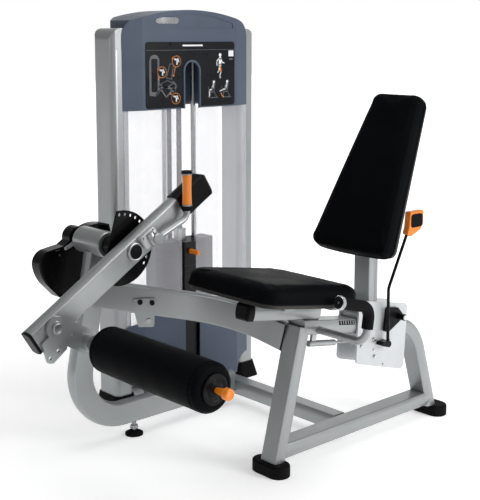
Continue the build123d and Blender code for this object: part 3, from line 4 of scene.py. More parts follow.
import bmesh
import bpy
import numpy as np
from mathutils import Matrix, Vector
from mathutils.bvhtree import BVHTree


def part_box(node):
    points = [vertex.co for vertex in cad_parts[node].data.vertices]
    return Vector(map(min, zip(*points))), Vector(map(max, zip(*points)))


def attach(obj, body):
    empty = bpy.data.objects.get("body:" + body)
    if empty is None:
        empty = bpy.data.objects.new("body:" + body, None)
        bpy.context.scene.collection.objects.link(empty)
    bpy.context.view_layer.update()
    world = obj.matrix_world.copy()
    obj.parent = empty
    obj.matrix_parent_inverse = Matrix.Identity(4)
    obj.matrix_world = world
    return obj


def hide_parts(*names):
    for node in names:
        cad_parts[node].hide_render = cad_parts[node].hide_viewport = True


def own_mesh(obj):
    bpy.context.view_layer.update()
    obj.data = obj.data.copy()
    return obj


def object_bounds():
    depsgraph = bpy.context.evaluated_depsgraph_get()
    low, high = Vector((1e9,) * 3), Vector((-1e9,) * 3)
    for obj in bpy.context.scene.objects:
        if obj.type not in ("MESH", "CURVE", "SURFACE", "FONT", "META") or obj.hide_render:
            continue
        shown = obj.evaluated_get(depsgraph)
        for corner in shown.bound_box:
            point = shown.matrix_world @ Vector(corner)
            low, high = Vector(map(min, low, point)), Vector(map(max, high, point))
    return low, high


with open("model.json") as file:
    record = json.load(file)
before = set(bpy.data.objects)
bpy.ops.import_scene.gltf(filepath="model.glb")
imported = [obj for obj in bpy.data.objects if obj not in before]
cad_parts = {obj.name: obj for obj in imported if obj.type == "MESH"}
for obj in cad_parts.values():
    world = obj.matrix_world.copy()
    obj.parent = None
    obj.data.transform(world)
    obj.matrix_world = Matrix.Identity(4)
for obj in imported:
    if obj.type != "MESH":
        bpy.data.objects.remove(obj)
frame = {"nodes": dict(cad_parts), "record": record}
cad_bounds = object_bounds()

NODES = frame["nodes"]
JOINTS = {j["name"]: j for j in frame["record"]["behaviour"]["joints"]}
BODY = {n: b for b, members in frame["record"]["behaviour"]["bodies"].items() for n in members}
SLOT = {s["node"]: s["material_slot"] for s in frame["record"]["subparts"]}
UP = Vector((0, 0, 1))


# ---- Materials -----------------------------------------------------------------------------------
class Nodes:
    """Short names for building a material's node tree."""

    def __init__(self, name):
        self.mat = bpy.data.materials.new(name)
        self.mat.use_nodes = True
        self.tree = self.mat.node_tree
        self.tree.nodes.clear()
        self.out = self.tree.nodes.new("ShaderNodeOutputMaterial")
        self.shader = self.tree.nodes.new("ShaderNodeBsdfPrincipled")
        self.link(self.shader.outputs[0], self.out.inputs[0])
        self.coord = self.tree.nodes.new("ShaderNodeTexCoord").outputs["Object"]

    def link(self, a, b):
        self.tree.links.new(a, b)

    def noise(self, scale, detail=3.0, rough=0.55, stretch=None):
        node = self.tree.nodes.new("ShaderNodeTexNoise")
        node.inputs["Scale"].default_value = scale
        node.inputs["Detail"].default_value = detail
        node.inputs["Roughness"].default_value = rough
        self.link(self.mapped(stretch), node.inputs["Vector"])
        return node.outputs["Fac"]

    def mapped(self, stretch):
        if stretch is None:
            return self.coord
        node = self.tree.nodes.new("ShaderNodeMapping")
        node.inputs["Scale"].default_value = stretch
        self.link(self.coord, node.inputs["Vector"])
        return node.outputs["Vector"]

    def cells(self, scale, feature="DISTANCE_TO_EDGE", stretch=None):
        node = self.tree.nodes.new("ShaderNodeTexVoronoi")
        node.feature = feature
        node.inputs["Scale"].default_value = scale
        self.link(self.mapped(stretch), node.inputs["Vector"])
        return node.outputs["Distance"]

    def ramp(self, fac, low, high, out_low=0.0, out_high=1.0):
        node = self.tree.nodes.new("ShaderNodeMapRange")
        for key, value in (("From Min", low), ("From Max", high), ("To Min", out_low), ("To Max", out_high)):
            node.inputs[key].default_value = value
        self.link(fac, node.inputs["Value"])
        return node.outputs["Result"]

    def math(self, how, a, b):
        node = self.tree.nodes.new("ShaderNodeMath")
        node.operation = how
        for socket, value in zip(node.inputs, (a, b)):
            if isinstance(value, (int, float)):
                socket.default_value = value
            else:
                self.link(value, socket)
        return node.outputs[0]

    def mix(self, fac, a, b):
        node = self.tree.nodes.new("ShaderNodeMix")
        node.data_type = "RGBA"
        sockets = [s for s in node.inputs if s.type == "RGBA"]
        for socket, value in zip(sockets, (a, b)):
            if isinstance(value, (tuple, list)):
                socket.default_value = (*value[:3], 1.0)
            else:
                self.link(value, socket)
        self.link(fac, node.inputs[0])
        return [s for s in node.outputs if s.type == "RGBA"][0]

    def bump(self, height, strength, distance, normal=None):
        node = self.tree.nodes.new("ShaderNodeBump")
        node.inputs["Strength"].default_value = strength
        node.inputs["Distance"].default_value = distance
        self.link(height, node.inputs["Height"])
        if normal is not None:
            self.link(normal, node.inputs["Normal"])
        return node.outputs["Normal"]

    def finish(self, color, rough, normal=None, **constants):
        self.link(color, self.shader.inputs["Base Color"])
        self.link(rough, self.shader.inputs["Roughness"])
        if normal is not None:
            self.link(normal, self.shader.inputs["Normal"])
        for key, value in constants.items():
            self.shader.inputs[key.replace("_", " ")].default_value = value
        return self.mat


def scaled(color, k):
    return tuple(min(1.0, c * k) for c in color)


def painted(name, color, metallic, rough, flake=0.06, coat=0.35, orange_peel=0.04, specular=0.4):
    """Metallic powder paint: cloudy tone, fine flakes, faint orange peel and handling marks."""
    n = Nodes(name)
    clouds = n.noise(3.2, 4.0)
    flakes = n.noise(1500.0, 1.0, 0.5)
    marks = n.noise(22.0, 6.0, 0.7, (1.0, 1.0, 0.25))
    base = n.mix(n.ramp(clouds, 0.35, 0.65), scaled(color, 0.95), scaled(color, 1.05))
    base = n.mix(n.ramp(flakes, 0.60, 0.78, 0.0, flake * 6), base, scaled(color, 1.7))
    base = n.mix(n.ramp(flakes, 0.25, 0.40, flake * 5, 0.0), base, scaled(color, 0.55))
    roughness = n.ramp(marks, 0.3, 0.75, rough - 0.05, rough + 0.09)
    normal = n.bump(n.noise(260.0, 2.0), orange_peel, 0.0006)
    normal = n.bump(flakes, 0.05, 0.0002, normal)
    return n.finish(base, roughness, normal, Metallic=metallic, Coat_Weight=coat, Coat_Roughness=0.16,
                    Specular_IOR_Level=specular)


def moulded(name, color, rough, grain=420.0, depth=0.25, coat=0.0, specular=0.5):
    """Moulded plastic with a fine spark-eroded grain, faint flow clouds and rubbed patches."""
    n = Nodes(name)
    clouds = n.noise(5.0, 4.0)
    fine = n.noise(grain, 2.0, 0.6)
    rub = n.noise(14.0, 5.0, 0.65)
    base = n.mix(n.ramp(clouds, 0.3, 0.7), scaled(color, 0.9), scaled(color, 1.1))
    base = n.mix(n.ramp(fine, 0.4, 0.7, 0.0, 0.25), base, scaled(color, 1.35))
    roughness = n.ramp(rub, 0.3, 0.7, rough - 0.06, rough + 0.08)
    normal = n.bump(fine, depth, 0.0004)
    return n.finish(base, roughness, normal, Coat_Weight=coat, Coat_Roughness=0.1,
                    Specular_IOR_Level=specular)


def bare_metal(name, color, rough, stretch, lines=0.12):
    """Plated or brushed metal, with hairlines along one direction and faint smudges."""
    n = Nodes(name)
    brush = n.noise(90.0, 3.0, 0.7, stretch)
    smudge = n.noise(11.0, 5.0)
    base = n.mix(n.ramp(smudge, 0.3, 0.7), scaled(color, 0.93), scaled(color, 1.05))
    base = n.mix(n.ramp(brush, 0.35, 0.7, 0.0, 0.35), base, scaled(color, 0.78))
    roughness = n.math("ADD", n.ramp(smudge, 0.3, 0.75, rough, rough + 0.08),
                       n.ramp(brush, 0.3, 0.7, 0.0, 0.06))
    normal = n.bump(brush, lines, 0.0003)
    return n.finish(base, roughness, normal, Metallic=1.0)


def vinyl(name, color=(0.0030, 0.0034, 0.0042), rough=0.44):
    """Upholstery vinyl: pebble grain in two sizes, soft creases, polished patches scattered over it."""
    n = Nodes(name)
    pebbles = n.cells(520.0)
    fine = n.noise(1500.0, 2.0)
    creases = n.noise(26.0, 5.0, 0.6)
    polish = n.noise(6.0, 4.0)
    base = n.mix(n.ramp(polish, 0.3, 0.7), scaled(color, 0.8), scaled(color, 1.35))
    base = n.mix(n.ramp(pebbles, 0.0, 0.10, 0.55, 0.0), base, scaled(color, 0.45))
    roughness = n.math("ADD", n.ramp(polish, 0.3, 0.7, rough - 0.05, rough + 0.07),
                       n.ramp(pebbles, 0.0, 0.15, 0.10, 0.0))
    normal = n.bump(n.ramp(pebbles, 0.0, 0.16), 0.30, 0.0005)
    normal = n.bump(fine, 0.10, 0.0002, normal)
    normal = n.bump(creases, 0.16, 0.0022, normal)
    return n.finish(base, roughness, normal, Specular_IOR_Level=0.022)


def rubbery(name, color=(0.004, 0.004, 0.0045), rough=0.60):
    """Matt rubber with a dusty bloom and a coarse moulded grain."""
    n = Nodes(name)
    bloom = n.noise(8.0, 6.0, 0.65)
    grain = n.noise(700.0, 2.0)
    base = n.mix(n.ramp(bloom, 0.42, 0.75, 0.0, 0.8), color, scaled(color, 2.6))
    roughness = n.ramp(bloom, 0.3, 0.7, rough - 0.08, rough + 0.12)
    normal = n.bump(grain, 0.25, 0.0004)
    return n.finish(base, roughness, normal, Specular_IOR_Level=0.06)


def frosted(name, color, alpha, rough):
    """Clear sheet with a light frosting, faint extrusion streaks and wiping marks."""
    n = Nodes(name)
    streaks = n.noise(14.0, 3.0, 0.5, (1.0, 1.0, 0.03))
    wipes = n.noise(7.0, 5.0, 0.6)
    base = n.mix(n.ramp(streaks, 0.35, 0.65), scaled(color, 0.93), scaled(color, 1.05))
    roughness = n.ramp(wipes, 0.3, 0.7, rough, rough + 0.12)
    see = n.math("ADD", n.ramp(streaks, 0.35, 0.65, alpha - 0.012, alpha + 0.012),
                 n.ramp(wipes, 0.3, 0.7, -0.015, 0.015))
    n.link(see, n.shader.inputs["Alpha"])
    normal = n.bump(streaks, 0.03, 0.0006)
    return n.finish(base, roughness, normal, Specular_IOR_Level=0.3)


def plywood(name):
    """Black-stained plywood, with the grain just showing."""
    n = Nodes(name)
    grain = n.noise(40.0, 5.0, 0.7, (0.15, 1.0, 1.0))
    base = n.mix(n.ramp(grain, 0.35, 0.7), (0.012, 0.011, 0.010), (0.035, 0.030, 0.026))
    normal = n.bump(grain, 0.3, 0.0006)
    return n.finish(base, n.ramp(grain, 0.3, 0.7, 0.5, 0.7), normal)


SILVER = (0.335, 0.350, 0.352)
BLUE_GREY = (0.066, 0.084, 0.124)
MATERIAL = {
    "frame_paint": painted("silver_paint", SILVER, 0.64, 0.33, coat=0.12, orange_peel=0.03),
    "carriage_silver": painted("light_silver_paint", (0.56, 0.58, 0.59), 0.40, 0.34, flake=0.02, coat=0.1),
    "hood_plastic": moulded("blue_grey_moulding", BLUE_GREY, 0.44, coat=0.04, specular=0.3),
    "black_plastic": moulded("black_moulding", (0.0045, 0.0047, 0.0055), 0.34, specular=0.10),
    "gloss_black": painted("gloss_black_paint", (0.0028, 0.0028, 0.0034), 0.0, 0.22, flake=0.0, coat=0.03,
                           specular=0.12),
    "placard_black": moulded("placard_panel", (0.0055, 0.0062, 0.0080), 0.30, grain=900.0, depth=0.05,
                             coat=0.03, specular=0.16),
    "shield_clear": frosted("shield_sheet", (0.86, 0.86, 0.91), 0.22, 0.22),
    "stack_black": painted("plate_enamel", (0.006, 0.006, 0.007), 0.0, 0.40, flake=0.01, coat=0.05,
                           orange_peel=0.2, specular=0.2),
    "chrome": bare_metal("chrome_plate", (0.62, 0.63, 0.64), 0.10, (1.0, 1.0, 0.1), lines=0.02),
    "steel": bare_metal("brushed_steel", (0.42, 0.43, 0.44), 0.28, (0.1, 1.0, 1.0)),
    "black_vinyl": vinyl("black_vinyl"),
    "rubber_black": rubbery("black_rubber"),
    "orange_plastic": moulded("orange_moulding", (0.80, 0.215, 0.004), 0.34, grain=500.0, depth=0.08,
                              coat=0.25),
    "belt_black": rubbery("belt_rubber", (0.014, 0.014, 0.015), 0.5),
    "board_black": plywood("black_plywood"),
}
WHITE_PRINT = moulded("white_print", (0.78, 0.78, 0.80), 0.45, depth=0.05)
GREY_PRINT = moulded("grey_print", (0.085, 0.09, 0.105), 0.45, depth=0.05)
ORANGE_PRINT = moulded("orange_print", (0.80, 0.26, 0.02), 0.45, depth=0.05)

for node, obj in NODES.items():
    obj.data.materials.clear()
    obj.data.materials.append(MATERIAL[SLOT[node]])
NODES["rear_shield"].data.materials[0] = frosted("rear_sheet", (0.90, 0.90, 0.93), 0.14, 0.2)


# ---- Mesh helpers --------------------------------------------------------------------------------
def piece(name, verts, faces, mat, body, smooth=True):
    """A mesh object in the row frame that rides on a CAD body."""
    mesh = bpy.data.meshes.new(name)
    mesh.from_pydata([tuple(v) for v in verts], [], faces)
    mesh.validate()
    bm = bmesh.new()
    bm.from_mesh(mesh)
    bmesh.ops.recalc_face_normals(bm, faces=bm.faces)
    bm.to_mesh(mesh)
    bm.free()
    for polygon in mesh.polygons:
        polygon.use_smooth = smooth
    obj = bpy.data.objects.new(name, mesh)
    bpy.context.scene.collection.objects.link(obj)
    mesh.materials.append(mat)
    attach(obj, body)
    return obj


def turned(name, profile, origin, axis, mat, body, segments=64):
    """A lathe piece: profile is (distance along the axis, radius) pairs; ends on the axis are closed."""
    axis = Vector(axis).normalized()
    side = axis.orthogonal().normalized()
    other = axis.cross(side)
    verts, faces, rings = [], [], []
    for along, radius in profile:
        centre = Vector(origin) + axis * along
        if radius < 1e-6:
            rings.append([len(verts)])
            verts.append(centre)
            continue
        rings.append(list(range(len(verts), len(verts) + segments)))
        for i in range(segments):
            turn = 2 * math.pi * i / segments
            verts.append(centre + (side * math.cos(turn) + other * math.sin(turn)) * radius)
    for a, b in zip(rings, rings[1:]):
        for i in range(segments):
            j = (i + 1) % segments
            if len(a) == 1 and len(b) > 1:
                faces.append((a[0], b[i], b[j]))
            elif len(b) == 1 and len(a) > 1:
                faces.append((a[i], b[0], a[j]))
            elif len(a) > 1:
                faces.append((a[i], b[i], b[j], a[j]))
    return piece(name, verts, faces, mat, body)


def cord_tube(name, points, radius, mat, body, closed=False, sides=12):
    """A round tube of one radius through the points, with parallel frames."""
    points = [Vector(p) for p in points]
    count = len(points)
    tangents = []
    for i in range(count):
        if closed:
            tangents.append((points[(i + 1) % count] - points[i - 1]).normalized())
        else:
            tangents.append((points[min(i + 1, count - 1)] - points[max(i - 1, 0)]).normalized())
    side = tangents[0].orthogonal().normalized()
    verts, faces = [], []
    for point, tangent in zip(points, tangents):
        side = (side - tangent * side.dot(tangent)).normalized()
        other = tangent.cross(side)
        for k in range(sides):
            turn = 2 * math.pi * k / sides
            verts.append(point + (side * math.cos(turn) + other * math.sin(turn)) * radius)
    for i in range(count if closed else count - 1):
        for k in range(sides):
            a, b = i * sides, (i + 1) % count * sides
            faces.append((a + k, a + (k + 1) % sides, b + (k + 1) % sides, b + k))
    if not closed:
        faces.append(tuple(range(sides)))
        faces.append(tuple(range((count - 1) * sides, count * sides)))
    return piece(name, verts, faces, mat, body)


# ---- Cushions ------------------------------------------------------------------------------------
slide = JOINTS["backrest_slide"]
RAIL_X = Vector(slide["axis"]).normalized()
RAIL_N = RAIL_X.cross(Vector((0, -1, 0))).normalized()
if RAIL_N.z < 0:
    RAIL_N = -RAIL_N
SEAT_FRAME = Matrix((RAIL_X, (0, 1, 0), RAIL_N)).transposed()
BACK_TILT = math.radians(26.7)
BACK_UP = Vector((math.sin(BACK_TILT), 0, math.cos(BACK_TILT)))
BACK_OUT = Vector((-math.cos(BACK_TILT), 0, math.sin(BACK_TILT)))
BACK_FRAME = Matrix((BACK_UP, (0, 1, 0), BACK_OUT)).transposed()
PIPING_R = 0.0021
CLOTH_FRAMES = 20


def local_points(node, axes):
    co = np.array([v.co for v in NODES[node].data.vertices], float)
    return co @ np.array(axes)


def activate(obj):
    bpy.ops.object.select_all(action="DESELECT")
    obj.select_set(True)
    bpy.context.view_layer.objects.active = obj


def cushion(name, node, axes, body, shrink, cap, pressure, crown):
    """The CAD pad as a stuffed cushion: remeshed, blown up with cloth, then capped and smoothed.

    axes has the pad's length, width and outward direction as columns. The face that lies on
    the board stays flat.
    """
    obj = bpy.data.objects.new(name, NODES[node].data.copy())
    bpy.context.scene.collection.objects.link(obj)
    mesh = obj.data
    inverse = np.array(axes)
    co = np.array([v.co for v in mesh.vertices], float) @ inverse
    lo, hi = co.min(0), co.max(0)
    mid, half = (lo + hi) / 2, (hi - lo) / 2
    scale = (half - shrink) / half
    scale[2] = (half[2] - shrink / 2) / half[2]
    co = (co - mid) * scale + mid
    co[:, 2] -= shrink / 2
    mesh.vertices.foreach_set("co", co.astype(np.float32).ravel())
    mesh.update()
    activate(obj)
    remesh = obj.modifiers.new("remesh", "REMESH")
    remesh.mode = "VOXEL"
    remesh.voxel_size = 0.0055
    bpy.ops.object.modifier_apply(modifier="remesh")
    mesh = obj.data
    rest = np.array([v.co for v in mesh.vertices], float)
    base = rest[:, 2] < lo[2] + 0.008
    group = obj.vertex_groups.new(name="held")
    group.add([int(i) for i in np.nonzero(base)[0]], 1.0, "REPLACE")
    cloth = obj.modifiers.new("cloth", "CLOTH")
    settings = cloth.settings
    settings.quality = 5
    settings.mass = 0.3
    settings.tension_stiffness = 25
    settings.compression_stiffness = 15
    settings.bending_stiffness = 1.5
    settings.use_pressure = True
    settings.uniform_pressure_force = pressure
    settings.vertex_group_mass = "held"
    settings.effector_weights.gravity = 0
    cloth.collision_settings.use_collision = False
    cloth.point_cache.frame_start, cloth.point_cache.frame_end = 1, CLOTH_FRAMES
    for step in range(1, CLOTH_FRAMES + 1):
        bpy.context.scene.frame_set(step)
    bpy.ops.object.modifier_apply(modifier="cloth")
    bpy.context.scene.frame_set(1)
    mesh = obj.data
    moved = np.array([v.co for v in mesh.vertices], float) - rest
    length = np.linalg.norm(moved, axis=1)
    moved *= np.where(length > cap, cap / np.maximum(length, 1e-9), 1.0)[:, None]
    co = rest + moved
    # A gentle crown on the open face, highest in the middle.
    long_way = np.clip(1 - ((co[:, 0] - mid[0]) / half[0]) ** 2, 0, 1)
    across = long_way * np.clip(1 - ((co[:, 1] - mid[1]) / half[1]) ** 2, 0, 1)
    high = np.clip((co[:, 2] - mid[2]) / half[2], 0, 1)
    co[:, 2] += crown * across ** 0.7 * high
    co[:, 2] = np.clip(co[:, 2], lo[2], None)
    mesh.vertices.foreach_set("co", co.astype(np.float32).ravel())
    mesh.update()
    smooth = obj.modifiers.new("smooth", "SMOOTH")
    smooth.factor, smooth.iterations = 0.5, 4
    bpy.ops.object.modifier_apply(modifier="smooth")
    subdivide = obj.modifiers.new("subdivide", "SUBSURF")
    subdivide.levels = subdivide.render_levels = 1
    bpy.ops.object.modifier_apply(modifier="subdivide")
    return obj, lo, hi


def surface_tree(obj):
    bm = bmesh.new()
    bm.from_mesh(obj.data)
    tree = BVHTree.FromBMesh(bm)
    bm.free()
    return tree


def groove(obj, line, depth, width):
    """Pulls the surface in along a stitched line."""
    co = np.array([v.co for v in obj.data.vertices], float)
    normals = np.array([v.normal for v in obj.data.vertices], float)
    pts = np.array([tuple(p) for p in line], float)
    nearest = np.full(len(co), 1e9)
    for p in pts:
        nearest = np.minimum(nearest, ((co - p) ** 2).sum(1))
    pull = depth * np.exp(-nearest / (width * width))
    co -= normals * pull[:, None]
    obj.data.vertices.foreach_set("co", co.astype(np.float32).ravel())
    obj.data.update()


def ring_on(tree, outline, level, centre, sink=0.0):
    """Points where a closed outline, at one height, meets the cushion's side; found from outside."""
    found = []
    for x, y in outline:
        start = Vector((x, y, level))
        towards = (Vector((centre[0], centre[1], level)) - start).normalized()
        hit = tree.ray_cast(start - towards * 0.08, towards, 0.3)[0]
        if hit is not None:
            found.append(hit + towards * sink)
    return found


def to_row(obj, axes, body, mat, node=None):
    """Puts a piece that was made in a pad's own axes into the row frame, on its body."""
    matrix = Matrix(np.array(axes).tolist())
    obj.data.transform(matrix.to_4x4())
    obj.data.materials.clear()
    obj.data.materials.append(mat)
    for polygon in obj.data.polygons:
        polygon.use_smooth = True
    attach(obj, body)
    if node:
        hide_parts(node)
    return obj


def rounded_outline(corners, radius, per=10):
    """A closed outline with rounded corners, as dense points."""
    points = []
    count = len(corners)
    for i in range(count):
        a, b, c = (Vector(corners[(i + k) % count]) for k in (-1, 0, 1))
        u, v = (a - b).normalized(), (c - b).normalized()
        half = math.acos(max(-1, min(1, u.dot(v)))) / 2
        reach = radius / math.tan(half)
        start, end = b + u * reach, b + v * reach
        centre = b + (u + v).normalized() * radius / math.sin(half)
        first = math.atan2(start.y - centre.y, start.x - centre.x)
        turn = (math.atan2(end.y - centre.y, end.x - centre.x) - first + math.pi) % (2 * math.pi) - math.pi
        for k in range(per + 1):
            angle = first + turn * k / per
            points.append(Vector((centre.x + radius * math.cos(angle), centre.y + radius * math.sin(angle))))
    dense = []
    for a, b in zip(points, points[1:] + points[:1]):
        steps = max(1, int((b - a).length / 0.012))
        dense += [a.lerp(b, k / steps) for k in range(steps)]
    return [(p.x, p.y) for p in dense]


def upholstered(name, node, axes, body, corners, radius, levels, shrink, cap, pressure, crown):
    """A cushion with piping around it at the given heights."""
    obj, lo, hi = cushion(name, node, axes, body, shrink, cap, pressure, crown)
    outline = rounded_outline(corners(lo, hi), radius)
    centre = ((lo[0] + hi[0]) / 2, (lo[1] + hi[1]) / 2)
    lines = [ring_on(surface_tree(obj), outline, lo[2] + level, centre) for level in levels]
    for line in lines:
        groove(obj, line, 0.0022, 0.006)
    tree = surface_tree(obj)
    for i, level in enumerate(levels):
        line = ring_on(tree, outline, lo[2] + level, centre, sink=0.0006)
        pipe = cord_tube(f"{name}_piping_{i + 1}", line, PIPING_R, MATERIAL["black_vinyl"], body, closed=True,
                         sides=10)
        pipe.parent = None
        pipe.matrix_world = Matrix.Identity(4)
        to_row(pipe, axes, body, MATERIAL["black_vinyl"])
    to_row(obj, axes, body, MATERIAL["black_vinyl"], node)
    return obj


def seat_corners(lo, hi):
    return [(lo[0], lo[1]), (hi[0], lo[1]), (hi[0], hi[1]), (lo[0], hi[1])]


def back_corners(lo, hi):
    """The backrest is widest at its low end; its top width is read from the CAD pad."""
    pts = local_points("back_pad", BACK_FRAME)
    top = pts[pts[:, 0] > hi[0] - 0.09]
    narrow = top[:, 1].max() - (lo[1] + hi[1]) / 2
    mid = (lo[1] + hi[1]) / 2
    return [(lo[0], lo[1]), (hi[0], mid - narrow), (hi[0], mid + narrow), (lo[0], hi[1])]


seat = upholstered("seat_cushion", "seat_pad", SEAT_FRAME, BODY["seat_pad"], seat_corners, 0.074,
                   (0.013,), 0.004, 0.006, 4.0, 0.005)
back = upholstered("back_cushion", "back_pad", BACK_FRAME, BODY["back_pad"], back_corners, 0.044,
                   (0.016, 0.052), 0.004, 0.006, 4.0, 0.004)

# ---- Places in the row frame ---------------------------------------------------------------------
TOWER_LO, TOWER_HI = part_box("tower_uprights")
PIVOT = Vector(JOINTS["knee_extension"]["pos_m"])
ROLLER = Vector(JOINTS["roller_spin"]["pos_m"])
LINK = Vector(JOINTS["shin_link"]["pos_m"])
LEAN = math.radians(32.0)
ARM_X = Vector((math.cos(LEAN), 0, math.sin(LEAN)))
ARM_N = Vector((-math.sin(LEAN), 0, math.cos(LEAN)))
NEAR = Vector((0, -1, 0))


def at(x, y, z):
    """A place measured from the tower's left face, its rear face and the floor."""
    return Vector((TOWER_LO.x + x, TOWER_HI.y + y, z))


def on_rail(along, above, y):
    """A place in the seat rail's tilted frame."""
    return at(0.203, y, 0.552) + RAIL_X * along + RAIL_N * above


def on_arm(along, above, y):
    place = PIVOT + ARM_X * along + ARM_N * above
    return Vector((place.x, y, place.z))


# ---- Small pieces --------------------------------------------------------------------------------
def prism(name, loops, origin, side, up, depth, mat, body, bevel=0.0, smooth=False):
    """Flat outlines in the (side, up) plane, each one pushed out by depth along side x up, edges eased."""
    side, up = Vector(side).normalized(), Vector(up).normalized()
    out = side.cross(up).normalized()
    verts, faces = [], []
    for loop in loops:
        first, count = len(verts), len(loop)
        rows = [(0.0, 0.0), (depth - bevel, 0.0)] + ([(depth, bevel)] if bevel else [])
        cx = sum(p[0] for p in loop) / count
        cy = sum(p[1] for p in loop) / count
        for height, inset in rows:
            for x, y in loop:
                reach = math.hypot(x - cx, y - cy) or 1.0
                k = 1 - inset / reach
                verts.append(Vector(origin) + side * (cx + (x - cx) * k) + up * (cy + (y - cy) * k)
                             + out * height)
        for row in range(len(rows) - 1):
            for i in range(count):
                j = (i + 1) % count
                a = first + row * count
                faces.append((a + i, a + j, a + count + j, a + count + i))
        faces.append(tuple(first + i for i in range(count))[::-1])
        top = first + (len(rows) - 1) * count
        faces.append(tuple(top + i for i in range(count)))
    return piece(name, verts, faces, mat, body, smooth=smooth)


def circle(x, y, r, sides=32):
    return [(x + r * math.cos(2 * math.pi * i / sides), y + r * math.sin(2 * math.pi * i / sides))
            for i in range(sides)]


def pill(x, y, width, height, radius, per=6):
    """A rounded rectangle around (x, y)."""
    points = []
    for sx, sy, first in ((1, 1, 0), (-1, 1, 90), (-1, -1, 180), (1, -1, 270)):
        for k in range(per + 1):
            angle = math.radians(first + 90 * k / per)
            points.append((x + sx * (width / 2 - radius) + radius * math.cos(angle),
                           y + sy * (height / 2 - radius) + radius * math.sin(angle)))
    return points


def stroke(points, width):
    """Outlines that draw a line with round joints."""
    loops = [circle(x, y, width / 2, 12) for x, y in points]
    for (ax, ay), (bx, by) in zip(points, points[1:]):
        length = math.hypot(bx - ax, by - ay) or 1.0
        nx, ny = -(by - ay) / length * width / 2, (bx - ax) / length * width / 2
        loops.append([(ax + nx, ay + ny), (bx + nx, by + ny), (bx - nx, by - ny), (ax - nx, ay - ny)])
    return loops


def hex_bolt(name, origin, axis, across, height, mat, body, washer=1.35):
    """A hexagon head with a chamfered top on a washer."""
    axis = Vector(axis).normalized()
    side = axis.orthogonal().normalized()
    other = axis.cross(side)
    verts, faces = [], []
    rows = [(0.0, across * washer / 2, 24), (height * 0.22, across * washer / 2, 24)]
    for level, radius, count in rows:
        verts += [Vector(origin) + axis * level + (side * math.cos(2 * math.pi * i / count)
                  + other * math.sin(2 * math.pi * i / count)) * radius for i in range(count)]
    faces += [(i, (i + 1) % 24, 24 + (i + 1) % 24, 24 + i) for i in range(24)]
    faces.append(tuple(range(24, 48)))
    start = len(verts)
    head = [(height * 0.22, 0.577), (height * 0.86, 0.577), (height, 0.50)]
    for level, share in head:
        verts += [Vector(origin) + axis * level + (side * math.cos(math.pi * i / 3)
                  + other * math.sin(math.pi * i / 3)) * across * share for i in range(6)]
    for row in range(2):
        a = start + row * 6
        faces += [(a + i, a + (i + 1) % 6, a + 6 + (i + 1) % 6, a + 6 + i) for i in range(6)]
    faces.append(tuple(start + 12 + i for i in range(6)))
    return piece(name, verts, faces, mat, body, smooth=False)


def knurled(name, origin, axis, radius, length, teeth, mat, body, depth=0.0014):
    """A ribbed collar or end cap with eased ends."""
    axis = Vector(axis).normalized()
    side = axis.orthogonal().normalized()
    other = axis.cross(side)
    count = teeth * 4
    ease = min(0.003, length * 0.2)
    verts, faces = [], []
    rows = [(0.0, -ease), (ease, 0.0), (length - ease, 0.0), (length, -ease)]
    for along, less in rows:
        for i in range(count):
            rib = -depth if i % 4 in (0, 1) else 0.0
            r = radius + less + (rib if less == 0.0 else -depth)
            turn = 2 * math.pi * i / count
            verts.append(Vector(origin) + axis * along + (side * math.cos(turn) + other * math.sin(turn)) * r)
    for row in range(3):
        a = row * count
        faces += [(a + i, a + (i + 1) % count, a + count + (i + 1) % count, a + count + i)
                  for i in range(count)]
    for row, dish in ((0, 0.0), (3, -0.0016)):
        ring = len(verts)
        inner = radius * 0.62
        for i in range(count):
            turn = 2 * math.pi * i / count
            verts.append(Vector(origin) + axis * rows[row][0]
                         + (side * math.cos(turn) + other * math.sin(turn)) * inner)
        verts.append(Vector(origin) + axis * (rows[row][0] + dish))
        a = row * count
        faces += [(a + i, a + (i + 1) % count, ring + (i + 1) % count, ring + i) for i in range(count)]
        faces += [(ring + i, ring + (i + 1) % count, ring + count) for i in range(count)]
    return piece(name, verts, faces, mat, body, smooth=False)


# ---- Shin roller ---------------------------------------------------------------------------------
pad_lo, pad_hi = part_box("roller_pad")
PAD_R = (pad_hi.z - pad_lo.z) / 2
PAD_LONG = pad_hi.y - pad_lo.y
SEAM_IN = 0.030     # the seams' distance from the roller's ends


